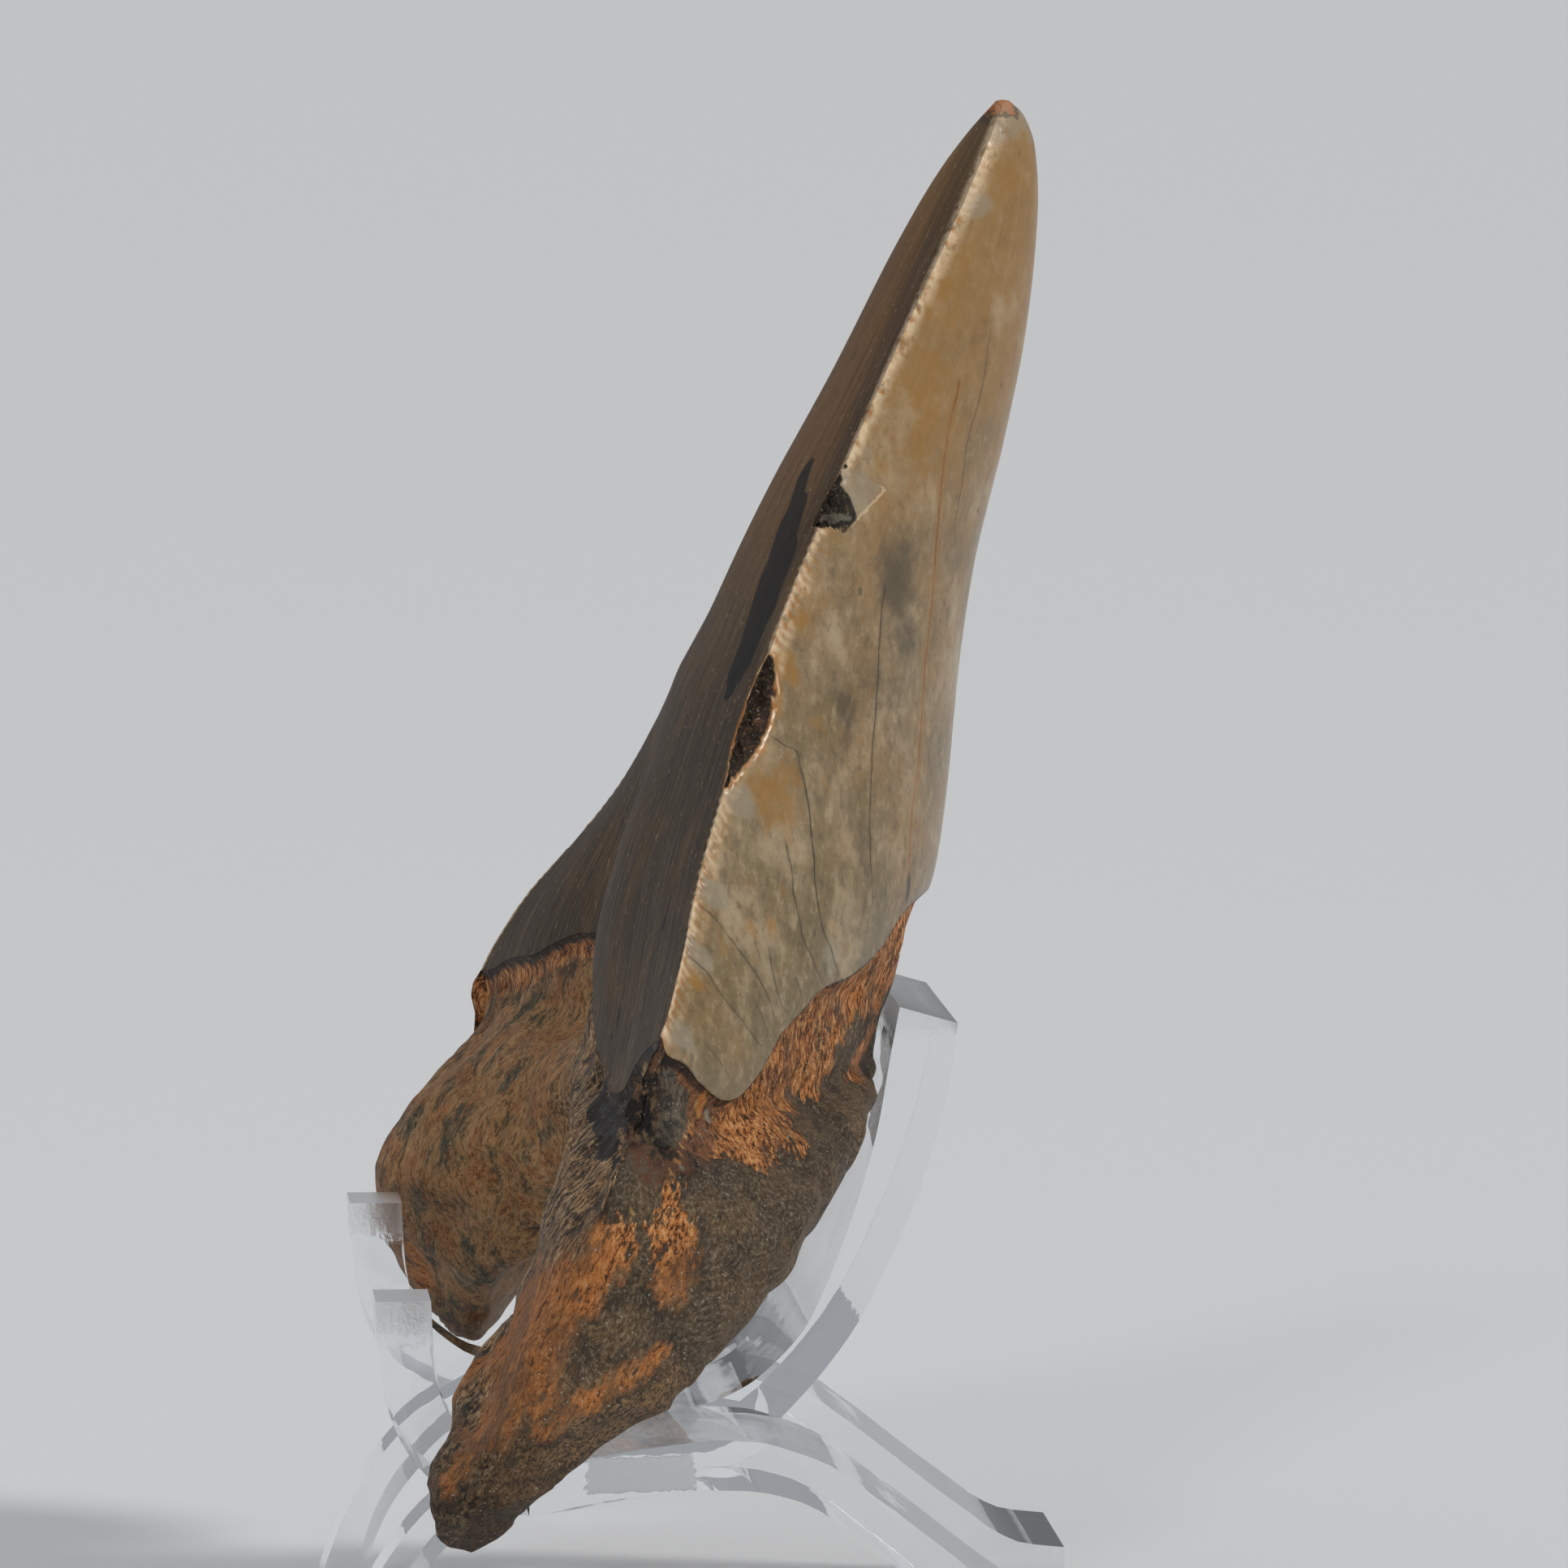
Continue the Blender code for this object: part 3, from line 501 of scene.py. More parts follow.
# the worn corner of the +X shoulder, (y, z) of its side
CORNER_LUMP = [((0, -4.3, 38.6), (0, -4.9, 36.2), 0.8), ((0, -4.3, 35.4), (0, -3.4, 34.9), 0.6),
               ((0, -3.6, 40.0), (0, -4.2, 38.6), 0.35)]
CORNER_GLASS = [((0, -3.4, 39.0), (0, -2.9, 37.4), 0.7), ((0, -2.9, 37.4), (0, -3.1, 35.9), 1.15)]
CORNER_RUSSET = [((0, -5.3, 34.5), (0, -4.4, 33.4), 0.95)]
CORNER_CLEAR = [((0, -0.7, 36.5), (0, -1.2, 35.3), 0.5), ((0, -2.55, 34.1), (0, -2.95, 33.5), 0.42)]
CORNER_RIM = [((0, -2.7, 39.3), (0, -1.9, 38.4), 0.18), ((0, -1.9, 38.4), (0, -1.0, 37.4), 0.34),
              ((0, -1.0, 37.4), (0, -1.5, 36.4), 0.28), ((0, -1.5, 36.4), (0, -2.4, 35.0), 0.24),
              ((0, -2.4, 35.0), (0, -3.4, 33.4), 0.2)]
OCHRE_DOTS = [((0, -0.7, 31.3), (0, -0.8, 30.8), 0.2), ((0, -5.6, 31.8), (0, -5.6, 31.5), 0.2),
              ((0, -4.6, 32.2), (0, -4.2, 32.1), 0.12)]
# black glossy seam round the lowest point of the front enamel
SEAM_BLACK = [((10.3, -6.3, 37.8), (17.8, -6.3, 35.4), 0.75),
              ((17.8, -6.3, 35.4), (25.0, -6.2, 35.0), 1.1),
              ((25.0, -6.2, 35.0), (31.6, -6.4, 34.4), 1.0),
              ((31.6, -6.4, 34.4), (34.6, -6.3, 34.0), 0.5),
              ((26.0, -5.6, 36.3), (35.0, -5.4, 37.2), 1.3),
              ((35.3, -5.4, 37.3), (33.8, -3.7, 40.2), 0.45)]
# lower edge of the fibrous orange band under the enamel, mm below the enamel, by share across
BAND_BACK = ([-1, -0.8, -0.6, -0.45, -0.3, -0.1, 0.1, 0.2, 0.3, 0.38, 0.43, 0.47, 0.52, 0.56,
              0.6, 0.66, 0.7, 0.74, 0.78, 0.82, 0.87, 0.9, 0.93, 1],
             [2.5, 4.5, 2.5, 5, 3.5, 2.5, 4.5, 6.2, 6.0, 3.8, 4.8, 6.2, 6.0, 6.6,
              5.6, 4.4, 3.3, 2.4, 2.8, 3.2, 4.2, 4.4, 1.5, 0.2])
BAND_FRONT = ([-1, -0.85, -0.6, -0.4, -0.2, 0, 0.3, 0.5, 0.7, 1],
              [2.2, 2.0, 1.7, 1.4, 1.2, 1.2, 1.0, 0.5, 0.3, 0.3])


def strongest(x, z, spots):
    """The strongest of some bell-shaped spots at each point."""
    best = np.zeros_like(x)
    for (cx, cz), (rx, rz), strength in spots:
        best = np.maximum(best, strength * np.exp(-((x - cx) / rx) ** 2 - ((z - cz) / rz) ** 2))
    return best


def tooth_markings(points, s, values):
    """Adds the masks and distances of the markings to the values kept at each point."""
    x, z, border = points[..., 0], points[..., 2], values["border"]
    back, side = values["face"] >= 0, np.abs(s) > 0.86
    clear = np.zeros_like(x)
    for (cx, cz), (rx, rz) in CLEAR_SPOTS:
        clear = np.maximum(clear, 1.3 - np.sqrt(((x - cx) / rx) ** 2 + ((z - cz) / rz) ** 2))
    along_x, along_y, everywhere = (1, 0, 1), (0, 1, 1), (1, 1, 1)
    # the orange band hangs from the enamel, with gaps; patches join it further down
    orange = np.where(back, curve(s, BAND_BACK), curve(s, BAND_FRONT)) + border
    gaps = inside(points, BAND_GAPS, along_x, back)
    orange = np.where(side & (z < 34), -20, np.minimum(orange, -gaps * 2 + 0.2))
    for marks, weights, keep in ((SIDE_ORANGE, along_y, x > 30), (FAR_ORANGE, along_y, x < -30),
                                 (BACK_ORANGE, along_x, back & ~side),
                                 (FRONT_ORANGE, along_x, ~back & ~side)):
        orange = np.maximum(orange, inside(points, marks, weights, keep))
    corner = {"corner": (CORNER_LUMP, 0.0), "glass": (CORNER_GLASS, 0.0),
              "russet": (CORNER_RUSSET, 0.0), "glassy": (CORNER_CLEAR, 0.0),
              "rim": (CORNER_RIM, 0.3), "ochre": (OCHRE_DOTS, 0.2)}
    for name, (marks, more) in corner.items():
        values[name] = np.clip(inside(points, marks, along_y, x > 29.5), -2, 2) + more
    values.update({
        "cloud": np.where(back, strongest(x, z, BACK_CLOUDS), 0),
        "clear": np.where(back, np.clip(clear, -1, 1), -1),
        "amber": np.where(back, strongest(x, z, BACK_AMBER), 0),
        "stain": np.clip(inside(points, FRONT_STAINS, along_x, ~back), -4, 4),
        "orange": np.clip(orange, -6, 6), "seam": np.where(back, 0.1, 0.55),
        "black": np.clip(inside(points, SEAM_BLACK, everywhere, x > 8), -2, 2),
    })
    return values


# ---- from arrays to meshes ------------------------------------------------------------------
def skin_mesh(name, points, values):
    """A closed mesh from rings of points: quads between rings, a fan at the first ring's middle,
    and the last ring folded shut on itself, its two halves sharing their points."""
    rows, count = points.shape[:2]
    index = np.arange(rows * count).reshape(rows, count)
    index[-1, COLUMNS + 1:] = index[-1, COLUMNS - 1:0:-1]
    following = np.roll(index, -1, axis=1)
    quads = np.stack([index[:-1], index[1:], following[1:], following[:-1]], -1).reshape(-1, 4)
    tip = rows * count
    fan = np.stack([np.full(count, tip), index[0], following[0]], -1)
    sizes = np.concatenate([np.full(len(quads), 4), np.full(len(fan), 3)])
    corners = np.concatenate([quads.ravel(), fan.ravel()])
    summit = points[0].mean(axis=0) + [0, 0, TIP_CAP]
    places = np.concatenate([points.reshape(-1, 3), [summit]])
    used, renumbered = np.unique(corners, return_inverse=True)
    places = (places[used] - [0, CENTRE_Y, 0]) * MM
    mesh = bpy.data.meshes.new(name)
    mesh.vertices.add(len(places))
    mesh.vertices.foreach_set("co", places.astype(np.float32).ravel())
    mesh.loops.add(len(renumbered))
    mesh.loops.foreach_set("vertex_index", renumbered.astype(np.int32))
    mesh.polygons.add(len(sizes))
    starts = np.concatenate([[0], np.cumsum(sizes)[:-1]]).astype(np.int32)
    mesh.polygons.foreach_set("loop_start", starts)
    for label, field in values.items():
        flat = field.reshape(rows * count, -1)
        flat = np.concatenate([flat, flat[:1]])[used].astype(np.float32)
        kind = "FLOAT_VECTOR" if flat.shape[1] == 3 else "FLOAT"
        store = mesh.attributes.new(label, kind, "POINT")
        store.data.foreach_set("vector" if flat.shape[1] == 3 else "value", flat.ravel())
    mesh.update(calc_edges=True)
    mesh.validate()
    return mesh


def add_piece(mesh, material):
    """Puts a finished mesh into the scene as an object at the origin."""
    mesh.materials.append(material)
    piece = bpy.data.objects.new(mesh.name, mesh)
    bpy.context.scene.collection.objects.link(piece)
    return piece


# ---- the stand ------------------------------------------------------------------------------
# the stand's strips as pairs of lines seen from the side, (y, z): upper or inner line, then lower
# or outer line
DECK_TOP = [(-11.0, 14.75), (-8.7, 15.1), (-6.9, 15.5), (-3.9, 15.95), (-0.3, 16.4)]
DECK_UNDER = [(-11.0, 12.0), (-8.7, 12.3), (-6.7, 12.7), (-4.0, 13.1), (-0.3, 13.4)]
LEG_TOP = [(-0.3, 16.4), (2.4, 16.25), (4.8, 15.6), (6.8, 14.8), (8.9, 13.3), (12.1, 10.9),
           (16.3, 7.6), (18.2, 6.2), (19.8, 5.0), (21.6, 4.2), (24.2, 3.9)]
LEG_UNDER = [(-0.3, 13.4), (1.7, 13.35), (4.6, 12.8), (6.5, 11.9), (8.9, 10.1), (11.1, 8.4),
             (14.5, 5.4), (17.5, 2.9), (20.0, 0.9), (21.4, 0.0), (24.2, 0.0)]
POST_FRONT = [(-0.3, 16.4), (0.7, 16.6), (1.9, 17.1), (3.2, 17.85), (4.3, 18.8), (5.4, 19.9),
              (6.4, 21.2), (7.2, 22.8), (8.5, 26.0), (9.7, 29.5), (10.7, 33.2), (11.4, 37.2),
              (12.0, 40.4)]
POST_BACK = [(-0.3, 13.4), (1.0, 13.4), (2.6, 13.9), (4.4, 15.2), (6.2, 17.0), (7.8, 18.9),
             (9.3, 21.0), (10.3, 22.8), (11.8, 26.0), (13.0, 28.8), (14.4, 33.2), (15.2, 37.0),
             (15.5, 39.4)]
HOOK_INNER = [(-11.0, 14.75), (-12.4, 15.15), (-13.7, 15.95), (-15.2, 17.3), (-16.2, 19.2),
              (-16.6, 21.8), (-16.75, 24.8)]
HOOK_OUTER = [(-11.0, 12.0), (-12.6, 12.2), (-14.4, 12.8), (-17.0, 14.4), (-18.7, 16.8),
              (-19.5, 19.2), (-19.9, 22.5), (-20.0, 24.8)]
SHIN_OUTER = [(-11.0, 14.75), (-12.2, 14.35), (-13.8, 13.5), (-16.6, 11.6), (-18.8, 9.0),
              (-20.5, 6.1), (-21.7, 3.1), (-22.6, 0.0)]
SHIN_INNER = [(-11.0, 12.0), (-12.3, 11.65), (-13.8, 10.9), (-16.2, 8.6), (-17.9, 6.2),
              (-19.1, 3.2), (-19.7, 0.0)]
# x of the strips' sides, and the bands between them that each strip fills
BANDS = [-25.5, -20.1, -19.3, -14.25, -11.4, 11.4, 14.25, 19.3, 20.1, 25.5]
ALL_BANDS, POST_BAND, LEG_BANDS = range(9), [4], [0, 1, 2, 3, 5, 6, 7, 8]
HOOK_BANDS, SHIN_BANDS = [0, 8], [2, 6]
SPLIT_STEPS = 9         # steps from where post and leg part to where they stand clear
FINE = 1500             # points of a line in which places are looked up


def crossing(first, second):
    """Where two finely sampled lines cross: the indices of the nearest pair, past the start that
    they share."""
    gap = np.linalg.norm(first[:, None] - second[None], axis=-1)
    gap[:12] = gap[:, :12] = 9
    return np.unravel_index(np.argmin(gap), gap.shape)


def stand_cells():
    """The side view of the stand cut into four-sided cells: points (y, z), and for each cell its
    corner numbers and the bands along X that hold it."""
    places, cells = [], []

    def number(point):
        """Index of a point, the same for points in the same place."""
        for k, known in enumerate(places):
            if abs(known[0] - point[0]) + abs(known[1] - point[1]) < 1e-6:
                return k
        places.append(tuple(point))
        return len(places) - 1

    def strip(upper, lower, bands):
        """Cells between two lines with the same number of points; doubled corners are dropped."""
        for a, b, c, d in zip(lower[:-1], lower[1:], upper[1:], upper[:-1]):
            corners = []
            for point in (a, b, c, d):
                k = number(point)
                if k not in corners:
                    corners.append(k)
            if len(corners) > 2:
                cells.append((corners, bands))

    def some_of(fine, low, high, count):
        """Some of a fine line's points, evenly spaced between two of its indices."""
        return fine[np.round(np.linspace(low, high, count)).astype(int)]

    def from_meeting(fine, low, count):
        """A fine line's points from an index to its end, the first moved to the meeting point."""
        return np.vstack([[meet], some_of(fine, low, FINE - 1, count)[1:]])

    strip(line(DECK_TOP, 12), line(DECK_UNDER, 12), ALL_BANDS)
    under, front = line(LEG_UNDER, FINE), line(POST_FRONT, FINE)
    back, top = line(POST_BACK, FINE), line(LEG_TOP, FINE)
    back_end, top_end = crossing(back, top)
    meet = (back[back_end] + top[top_end]) / 2
    under_end, front_end = (int(np.argmin(np.linalg.norm(fine - meet, axis=1)))
                            for fine in (under, front))
    post_back, leg_top, leg_under, post_front = (
        some_of(fine, 0, end, SPLIT_STEPS + 1)
        for fine, end in ((back, back_end), (top, top_end), (under, under_end),
                          (front, front_end)))
    post_back[-1] = leg_top[-1] = meet
    strip(post_back, leg_under, LEG_BANDS)
    strip(leg_top, post_back, ALL_BANDS)
    strip(post_front, leg_top, POST_BAND)
    strip(from_meeting(top, top_end, 24), some_of(under, under_end, FINE - 1, 24), LEG_BANDS)
    strip(some_of(front, front_end, FINE - 1, 30), from_meeting(back, back_end, 30), POST_BAND)
    strip(line(HOOK_INNER, 20), line(HOOK_OUTER, 20), HOOK_BANDS)
    strip(line(SHIN_OUTER, 18), line(SHIN_INNER, 18), SHIN_BANDS)
    return np.array(places), cells


def stand_mesh():
    """Outer skin of the stand: every cell is carried along X through its bands, and a face that
    two blocks share is left out."""
    places, cells = stand_cells()
    count, levels = len(places), len(BANDS)
    x = np.repeat(BANDS, count)
    yz = np.tile(places, (levels, 1))
    points = np.column_stack([x, yz[:, 0] - CENTRE_Y, yz[:, 1]]) * MM
    faces = {}
    for corners, bands in cells:
        for band in bands:
            low = [k + band * count for k in corners]
            high = [k + (band + 1) * count for k in corners]
            sides = [(low[i], low[(i + 1) % len(low)], high[(i + 1) % len(low)], high[i])
                     for i in range(len(low))]
            for face in [tuple(low[::-1]), tuple(high)] + sides:
                key = frozenset(face)
                faces[key] = None if key in faces else face
    kept = [face for face in faces.values() if face]
    mesh = bpy.data.meshes.new("stand_clear")
    used = np.unique(np.concatenate([np.array(face) for face in kept]))
    new_number = {old: new for new, old in enumerate(used.tolist())}
    mesh.from_pydata(points[used].tolist(), [], [[new_number[k] for k in f] for f in kept])
    mesh.validate()
    return mesh


# ---- words for wiring shader nodes ----------------------------------------------------------
class Wiring:
    """Places and joins the nodes of one shader tree. A value may be a number, a colour or
    another node's output."""

    def __init__(self, tree):
        self.tree = tree

    def place(self, kind, **settings):
        """A new node with some of its settings changed."""
        node = self.tree.nodes.new("ShaderNode" + kind)
        for name, value in settings.items():
            setattr(node, name, value)
        return node

    def feed(self, socket, value):
        """Gives a socket its value, or joins another node's output to it."""
        if isinstance(value, bpy.types.NodeSocket):
            self.tree.links.new(value, socket)
        elif socket.type == "RGBA" and len(value) == 3:
            socket.default_value = (*value, 1)
        else:
            socket.default_value = value

    def fed(self, node, inputs):
        """A node, once its inputs are given by name or number."""
        for name, value in inputs.items():
            self.feed(node.inputs[name], value)
        return node

    def maths(self, operation, a, b=0.0, clamp=False):
        """The result of one sum."""
        node = self.place("Math", operation=operation, use_clamp=clamp)
        return self.fed(node, {0: a, 1: b}).outputs[0]

    def chain(self, operation, values):
        """One sum after another over some values."""
        total = values[0]
        for value in values[1:]:
            total = self.maths(operation, total, value)
        return total

    def times(self, *values):
        """Product."""
        return self.chain("MULTIPLY", values)

    def plus(self, *values):
        """Sum."""
        return self.chain("ADD", values)

    def most(self, *values):
        """Largest."""
        return self.chain("MAXIMUM", values)

    def less(self, value, other):
        """Difference."""
        return self.maths("SUBTRACT", value, other)

    def rest(self, value):
        """What is left of 1."""
        return self.less(1.0, value)

    def size(self, value):
        """The value without its sign."""
        return self.maths("ABSOLUTE", value)

    def slide(self, value, low, high, start, end):
        """A smooth step from start to end as the value goes from low to high."""
        node = self.place("MapRange", interpolation_type="SMOOTHSTEP")
        return self.fed(node, {"Value": value, "From Min": low, "From Max": high,
                               "To Min": start, "To Max": end}).outputs[0]

    def rise(self, value, low, high, most=1.0):
        """A smooth step from 0 to most as the value goes from low to high."""
        return self.slide(value, low, high, 0.0, most)

    def mix(self, amount, a, b):
        """A colour between two."""
        return self.fed(self.place("Mix", data_type="RGBA"), {0: amount, 6: a, 7: b}).outputs[2]

    def mix_value(self, amount, a, b):
        """A number between two."""
        return self.fed(self.place("Mix", data_type="FLOAT"), {0: amount, 2: a, 3: b}).outputs[0]

    def over(self, colour, *layers):
        """A colour with others laid over it in turn, each given as (amount, colour)."""
        for amount, other in layers:
            colour = self.mix(amount, colour, other)
        return colour

    def split(self, vector):
        """The three parts of a vector."""
        return self.fed(self.place("SeparateXYZ"), {0: vector}).outputs

    def moved(self, vector, scale=(1, 1, 1), turn=(0, 0, 0), shift=(0, 0, 0)):
        """Coordinates scaled, turned and shifted."""
        return self.fed(self.place("Mapping"), {"Vector": vector, "Scale": scale, "Rotation": turn,
                                                "Location": shift}).outputs[0]

    def warped(self, vector, place, scale, amount):
        """Coordinates pushed about by a smooth noise."""
        noise = self.fed(self.place("TexNoise"), {"Vector": place, "Scale": scale, "Detail": 0.0})
        push = self.place("VectorMath", operation="MULTIPLY_ADD")
        return self.fed(push, {0: noise.outputs["Color"], 1: (amount,) * 3, 2: vector}).outputs[0]

    def noise(self, vector, scale, detail=2.0, rough=0.5, warp=0.0):
        """Soft noise around 0.5, per mm."""
        return self.fed(self.place("TexNoise"), {
            "Vector": vector, "Scale": scale, "Detail": detail, "Roughness": rough,
            "Distortion": warp}).outputs[0]

    def centred_noise(self, *settings):
        """Soft noise around 0."""
        return self.less(self.noise(*settings), 0.5)

    def cells(self, vector, scale):
        """Distance to the nearest of some scattered points, per mm."""
        node = self.fed(self.place("TexVoronoi"), {"Vector": vector, "Scale": scale})
        return node.outputs["Distance"]

    def crumbs(self, vector, scale):
        """Uneven tone from 0 to 1 of a crumbly surface, and its relief, from -1 to 0."""
        grit = self.noise(vector, scale, 4.0, 0.8)
        return self.rise(grit, 0.34, 0.66), self.less(grit, 1.0)

    def field(self, name, part="Fac"):
        """A value kept at each point of the skin; its part is Vector where it is one."""
        return self.place("Attribute", attribute_name=name).outputs[part]

    def bump(self, strength, distance, height):
        """A normal that stands for relief of some height; the distance is in metres."""
        return self.fed(self.place("Bump"), {"Strength": strength, "Distance": distance,
                                             "Height": height}).outputs[0]

    def group(self, tree, **values):
        """The outputs of a node group with its named inputs given."""
        return self.fed(self.place("Group", node_tree=tree), {
            name.replace("_", " ").capitalize(): value for name, value in values.items()}).outputs


def new_group(name, inputs, outputs):
    """An empty node group with named inputs (kind, default) and outputs (kind): its wiring, what
    it is given and what it puts out."""
    tree = bpy.data.node_groups.new(name, "ShaderNodeTree")
    for label, (kind, default) in inputs.items():
        socket = tree.interface.new_socket(label, in_out="INPUT", socket_type="NodeSocket" + kind)
        if default is not None:
            socket.default_value = default
    for label, kind in outputs.items():
        tree.interface.new_socket(label, in_out="OUTPUT", socket_type="NodeSocket" + kind)
    given, out = tree.nodes.new("NodeGroupInput"), tree.nodes.new("NodeGroupOutput")
    return Wiring(tree), given.outputs, out


def tone(red, green, blue):
    """A colour picked on screen (0 to 255) as the linear values that shaders take."""
    values = np.array([red, green, blue]) / 255
    linear = np.where(values <= 0.04045, values / 12.92, ((values + 0.055) / 1.055) ** 2.4)
    return tuple(float(v) for v in linear)


def new_material(name):
    """A material with its wiring, its main shader and its coordinates in mm."""
    material = bpy.data.materials.new(name)
    material.use_nodes = True
    w = Wiring(material.node_tree)
    place = w.place("TexCoord").outputs["Object"]
    shader = material.node_tree.nodes["Principled BSDF"]
    return material, w, shader, w.moved(place, scale=(1 / MM,) * 3)


# ---- finish of the tooth --------------------------------------------------------------------
ENAMEL_TAN = tone(147, 114, 71)
ENAMEL_PALE = tone(174, 155, 124)
ENAMEL_OLIVE = tone(106, 92, 62)
ENAMEL_GREY = tone(129, 112, 86)
AMBER = tone(147, 107, 50)
AMBER_DEEP = tone(170, 98, 44)
BEAD_PALE = tone(216, 190, 154)
# pale colour of the painted highlights along the cutting edge and on the lips of breaks
RIDGE_HIGHLIGHT = tone(226, 200, 164)
CLEAR_GREY = tone(146, 139, 122)
CLOUD_GREY = tone(82, 72, 56)
LABIAL_BROWN = tone(118, 82, 43)
# the front face's grey and dark tones are darker than its enamel's own colour: partly painted shade
# of the face that turns away from the key light
LABIAL_GREY = tone(66, 53, 39)
LABIAL_DARK = tone(46, 37, 28)
STAIN_BLACK = tone(20, 18, 16)
CRACK_DARK = tone(48, 46, 38)
CRACK_WARM = tone(122, 74, 38)
ORANGE = tone(190, 119, 61)
ORANGE_LIGHT = tone(232, 176, 116)
ORANGE_DEEP = tone(100, 56, 28)
BONE_DARK = tone(96, 82, 65)
BONE_BROWN = tone(118, 96, 70)
BONE_LIGHT = tone(172, 152, 126)
BONE_COAL = tone(60, 56, 49)
BONE_BLACK = tone(38, 33, 28)
SEAM_TONE = tone(24, 20, 17)
FLANK_TAN = tone(196, 148, 96)
FLANK_BROWN = tone(132, 92, 58)
FLANK_PALE = tone(222, 186, 142)
LICHEN = tone(96, 90, 68)
RUSSET = tone(116, 78, 58)
GLASS_BROWN = tone(112, 100, 82)
OCHRE = tone(190, 150, 92)
BREAK_BLACK = tone(32, 27, 23)
BREAK_GOLD = tone(132, 106, 72)
# colour of the painted highlights: tiny bright specks
PAINTED_GLINT = tone(226, 220, 208)


def make_grain_group():
    """Uneven tone at two scales, as grains have: fine specks over softer mottling."""
    w, given, out = new_group("mineral grain", {
        "Place": ("Vector", None), "Fine scale": ("Float", 3.0), "Coarse scale": ("Float", 0.5)},
        {"Tone": "Float", "Specks": "Float"})
    fine, coarse = (
        w.fed(w.place("TexNoise"), {"Vector": given["Place"], "Scale": given[scale],
                                    "Detail": detail}).outputs[0]
        for scale, detail in (("Fine scale", 3.0), ("Coarse scale", 4.0)))
    w.fed(out, {"Tone": w.plus(w.times(fine, 0.55), w.times(coarse, 0.45)),
                "Specks": w.rise(fine, 0.62, 0.72)})
    return w.tree


class Place:
    """What every part of the tooth's finish reads: where a point is and a few shared noises."""

    def __init__(self, w, mm):
        self.w, self.mm = w, mm
        self.grain = w.field("grain", "Vector")
        self.border, self.edge = w.field("border"), w.field("edge")
        self.front = w.rise(w.field("face"), -0.2, -0.7)
        self.back = w.rest(self.front)
        self.x, _, self.z = w.split(mm)
        self.ragged = w.centred_noise(mm, 0.9, 4.0, 0.6)
        self.soft = w.centred_noise(mm, 0.3, 3.0, 0.55)
        self.blotches = w.noise(mm, 0.5, 3.0, 0.65)
        self.bent = w.warped(self.grain, mm, 0.3, 1.0)
        self.bark = w.warped(w.moved(mm, turn=(0.41, 0, 0)), mm, 0.22, 2.4)
        self.fibres = w.noise(w.moved(self.grain, (1, 1, 0.2)), 2.6, 3.0, 0.65)
        self.streaks = w.noise(w.moved(self.grain, (1, 1, 0.03)), 1.1, 4.0, 0.65)

    def torn(self, value, amount):
        """A value with the ragged noise added, so that its steps are ragged."""
        return self.w.plus(value, self.w.times(self.ragged, amount))

    def wavy(self, value, amount):
        """A value with the soft noise added, so that its steps are wavy."""
        return self.w.plus(value, self.w.times(self.soft, amount))

    def mark(self, name, torn, low, high, most=1.0):
        """A mark kept on the skin, with ragged edges: from 0 to most as it goes from low to
        high."""
        return self.w.rise(self.torn(self.w.field(name), torn), low, high, most)


def back_enamel(w, at):
    """Enamel of the back face: tan above, olive-grey below, with pale, amber and dark clouds.
    Returns the colour, its middle noise and its fine one."""
    wide = w.noise(at.mm, 0.085, 3.0, 0.55, 0.4)
    middle = w.noise(w.moved(at.mm, shift=(31, 7, 12)), 0.2, 4.0, 0.6, 0.3)
    small = w.noise(w.moved(at.mm, (1, 1, 0.8), shift=(3, 17, 2)), 1.1, 5.0, 0.75)
    high = w.rise(at.wavy(at.z, 30.0), 58.0, 82.0)
    calmer = w.slide(high, 0.0, 1.0, 1.0, 0.4)
    colour = w.over(
        w.mix(high, ENAMEL_GREY, ENAMEL_TAN),
        (w.rise(at.wavy(at.z, 20.0), 58.0, 44.0, 0.6), ENAMEL_OLIVE),
        (w.rise(wide, 0.42, 0.62, 0.45), ENAMEL_TAN),
        (w.rise(middle, 0.52, 0.32, 0.6), ENAMEL_PALE),
        (w.rise(middle, 0.5, 0.66, w.times(calmer, 0.5)), ENAMEL_OLIVE),
        (w.rise(small, 0.5, 0.66, w.times(calmer, 0.45)), ENAMEL_PALE),
        (w.rise(small, 0.48, 0.34, w.times(calmer, 0.5)), CLOUD_GREY),
        (w.rise(at.streaks, 0.5, 0.68, 0.12), ENAMEL_PALE),
        (w.rise(at.streaks, 0.46, 0.3, 0.1), CLOUD_GREY),
        (at.mark("amber", 1.6, 0.1, 0.9, 0.75), AMBER),
        (w.rise(at.blotches, 0.56, 0.72, 0.35), AMBER),
        (at.mark("cloud", 0.9, 0.1, 0.9, 0.85), CLOUD_GREY))
    return colour, middle, small


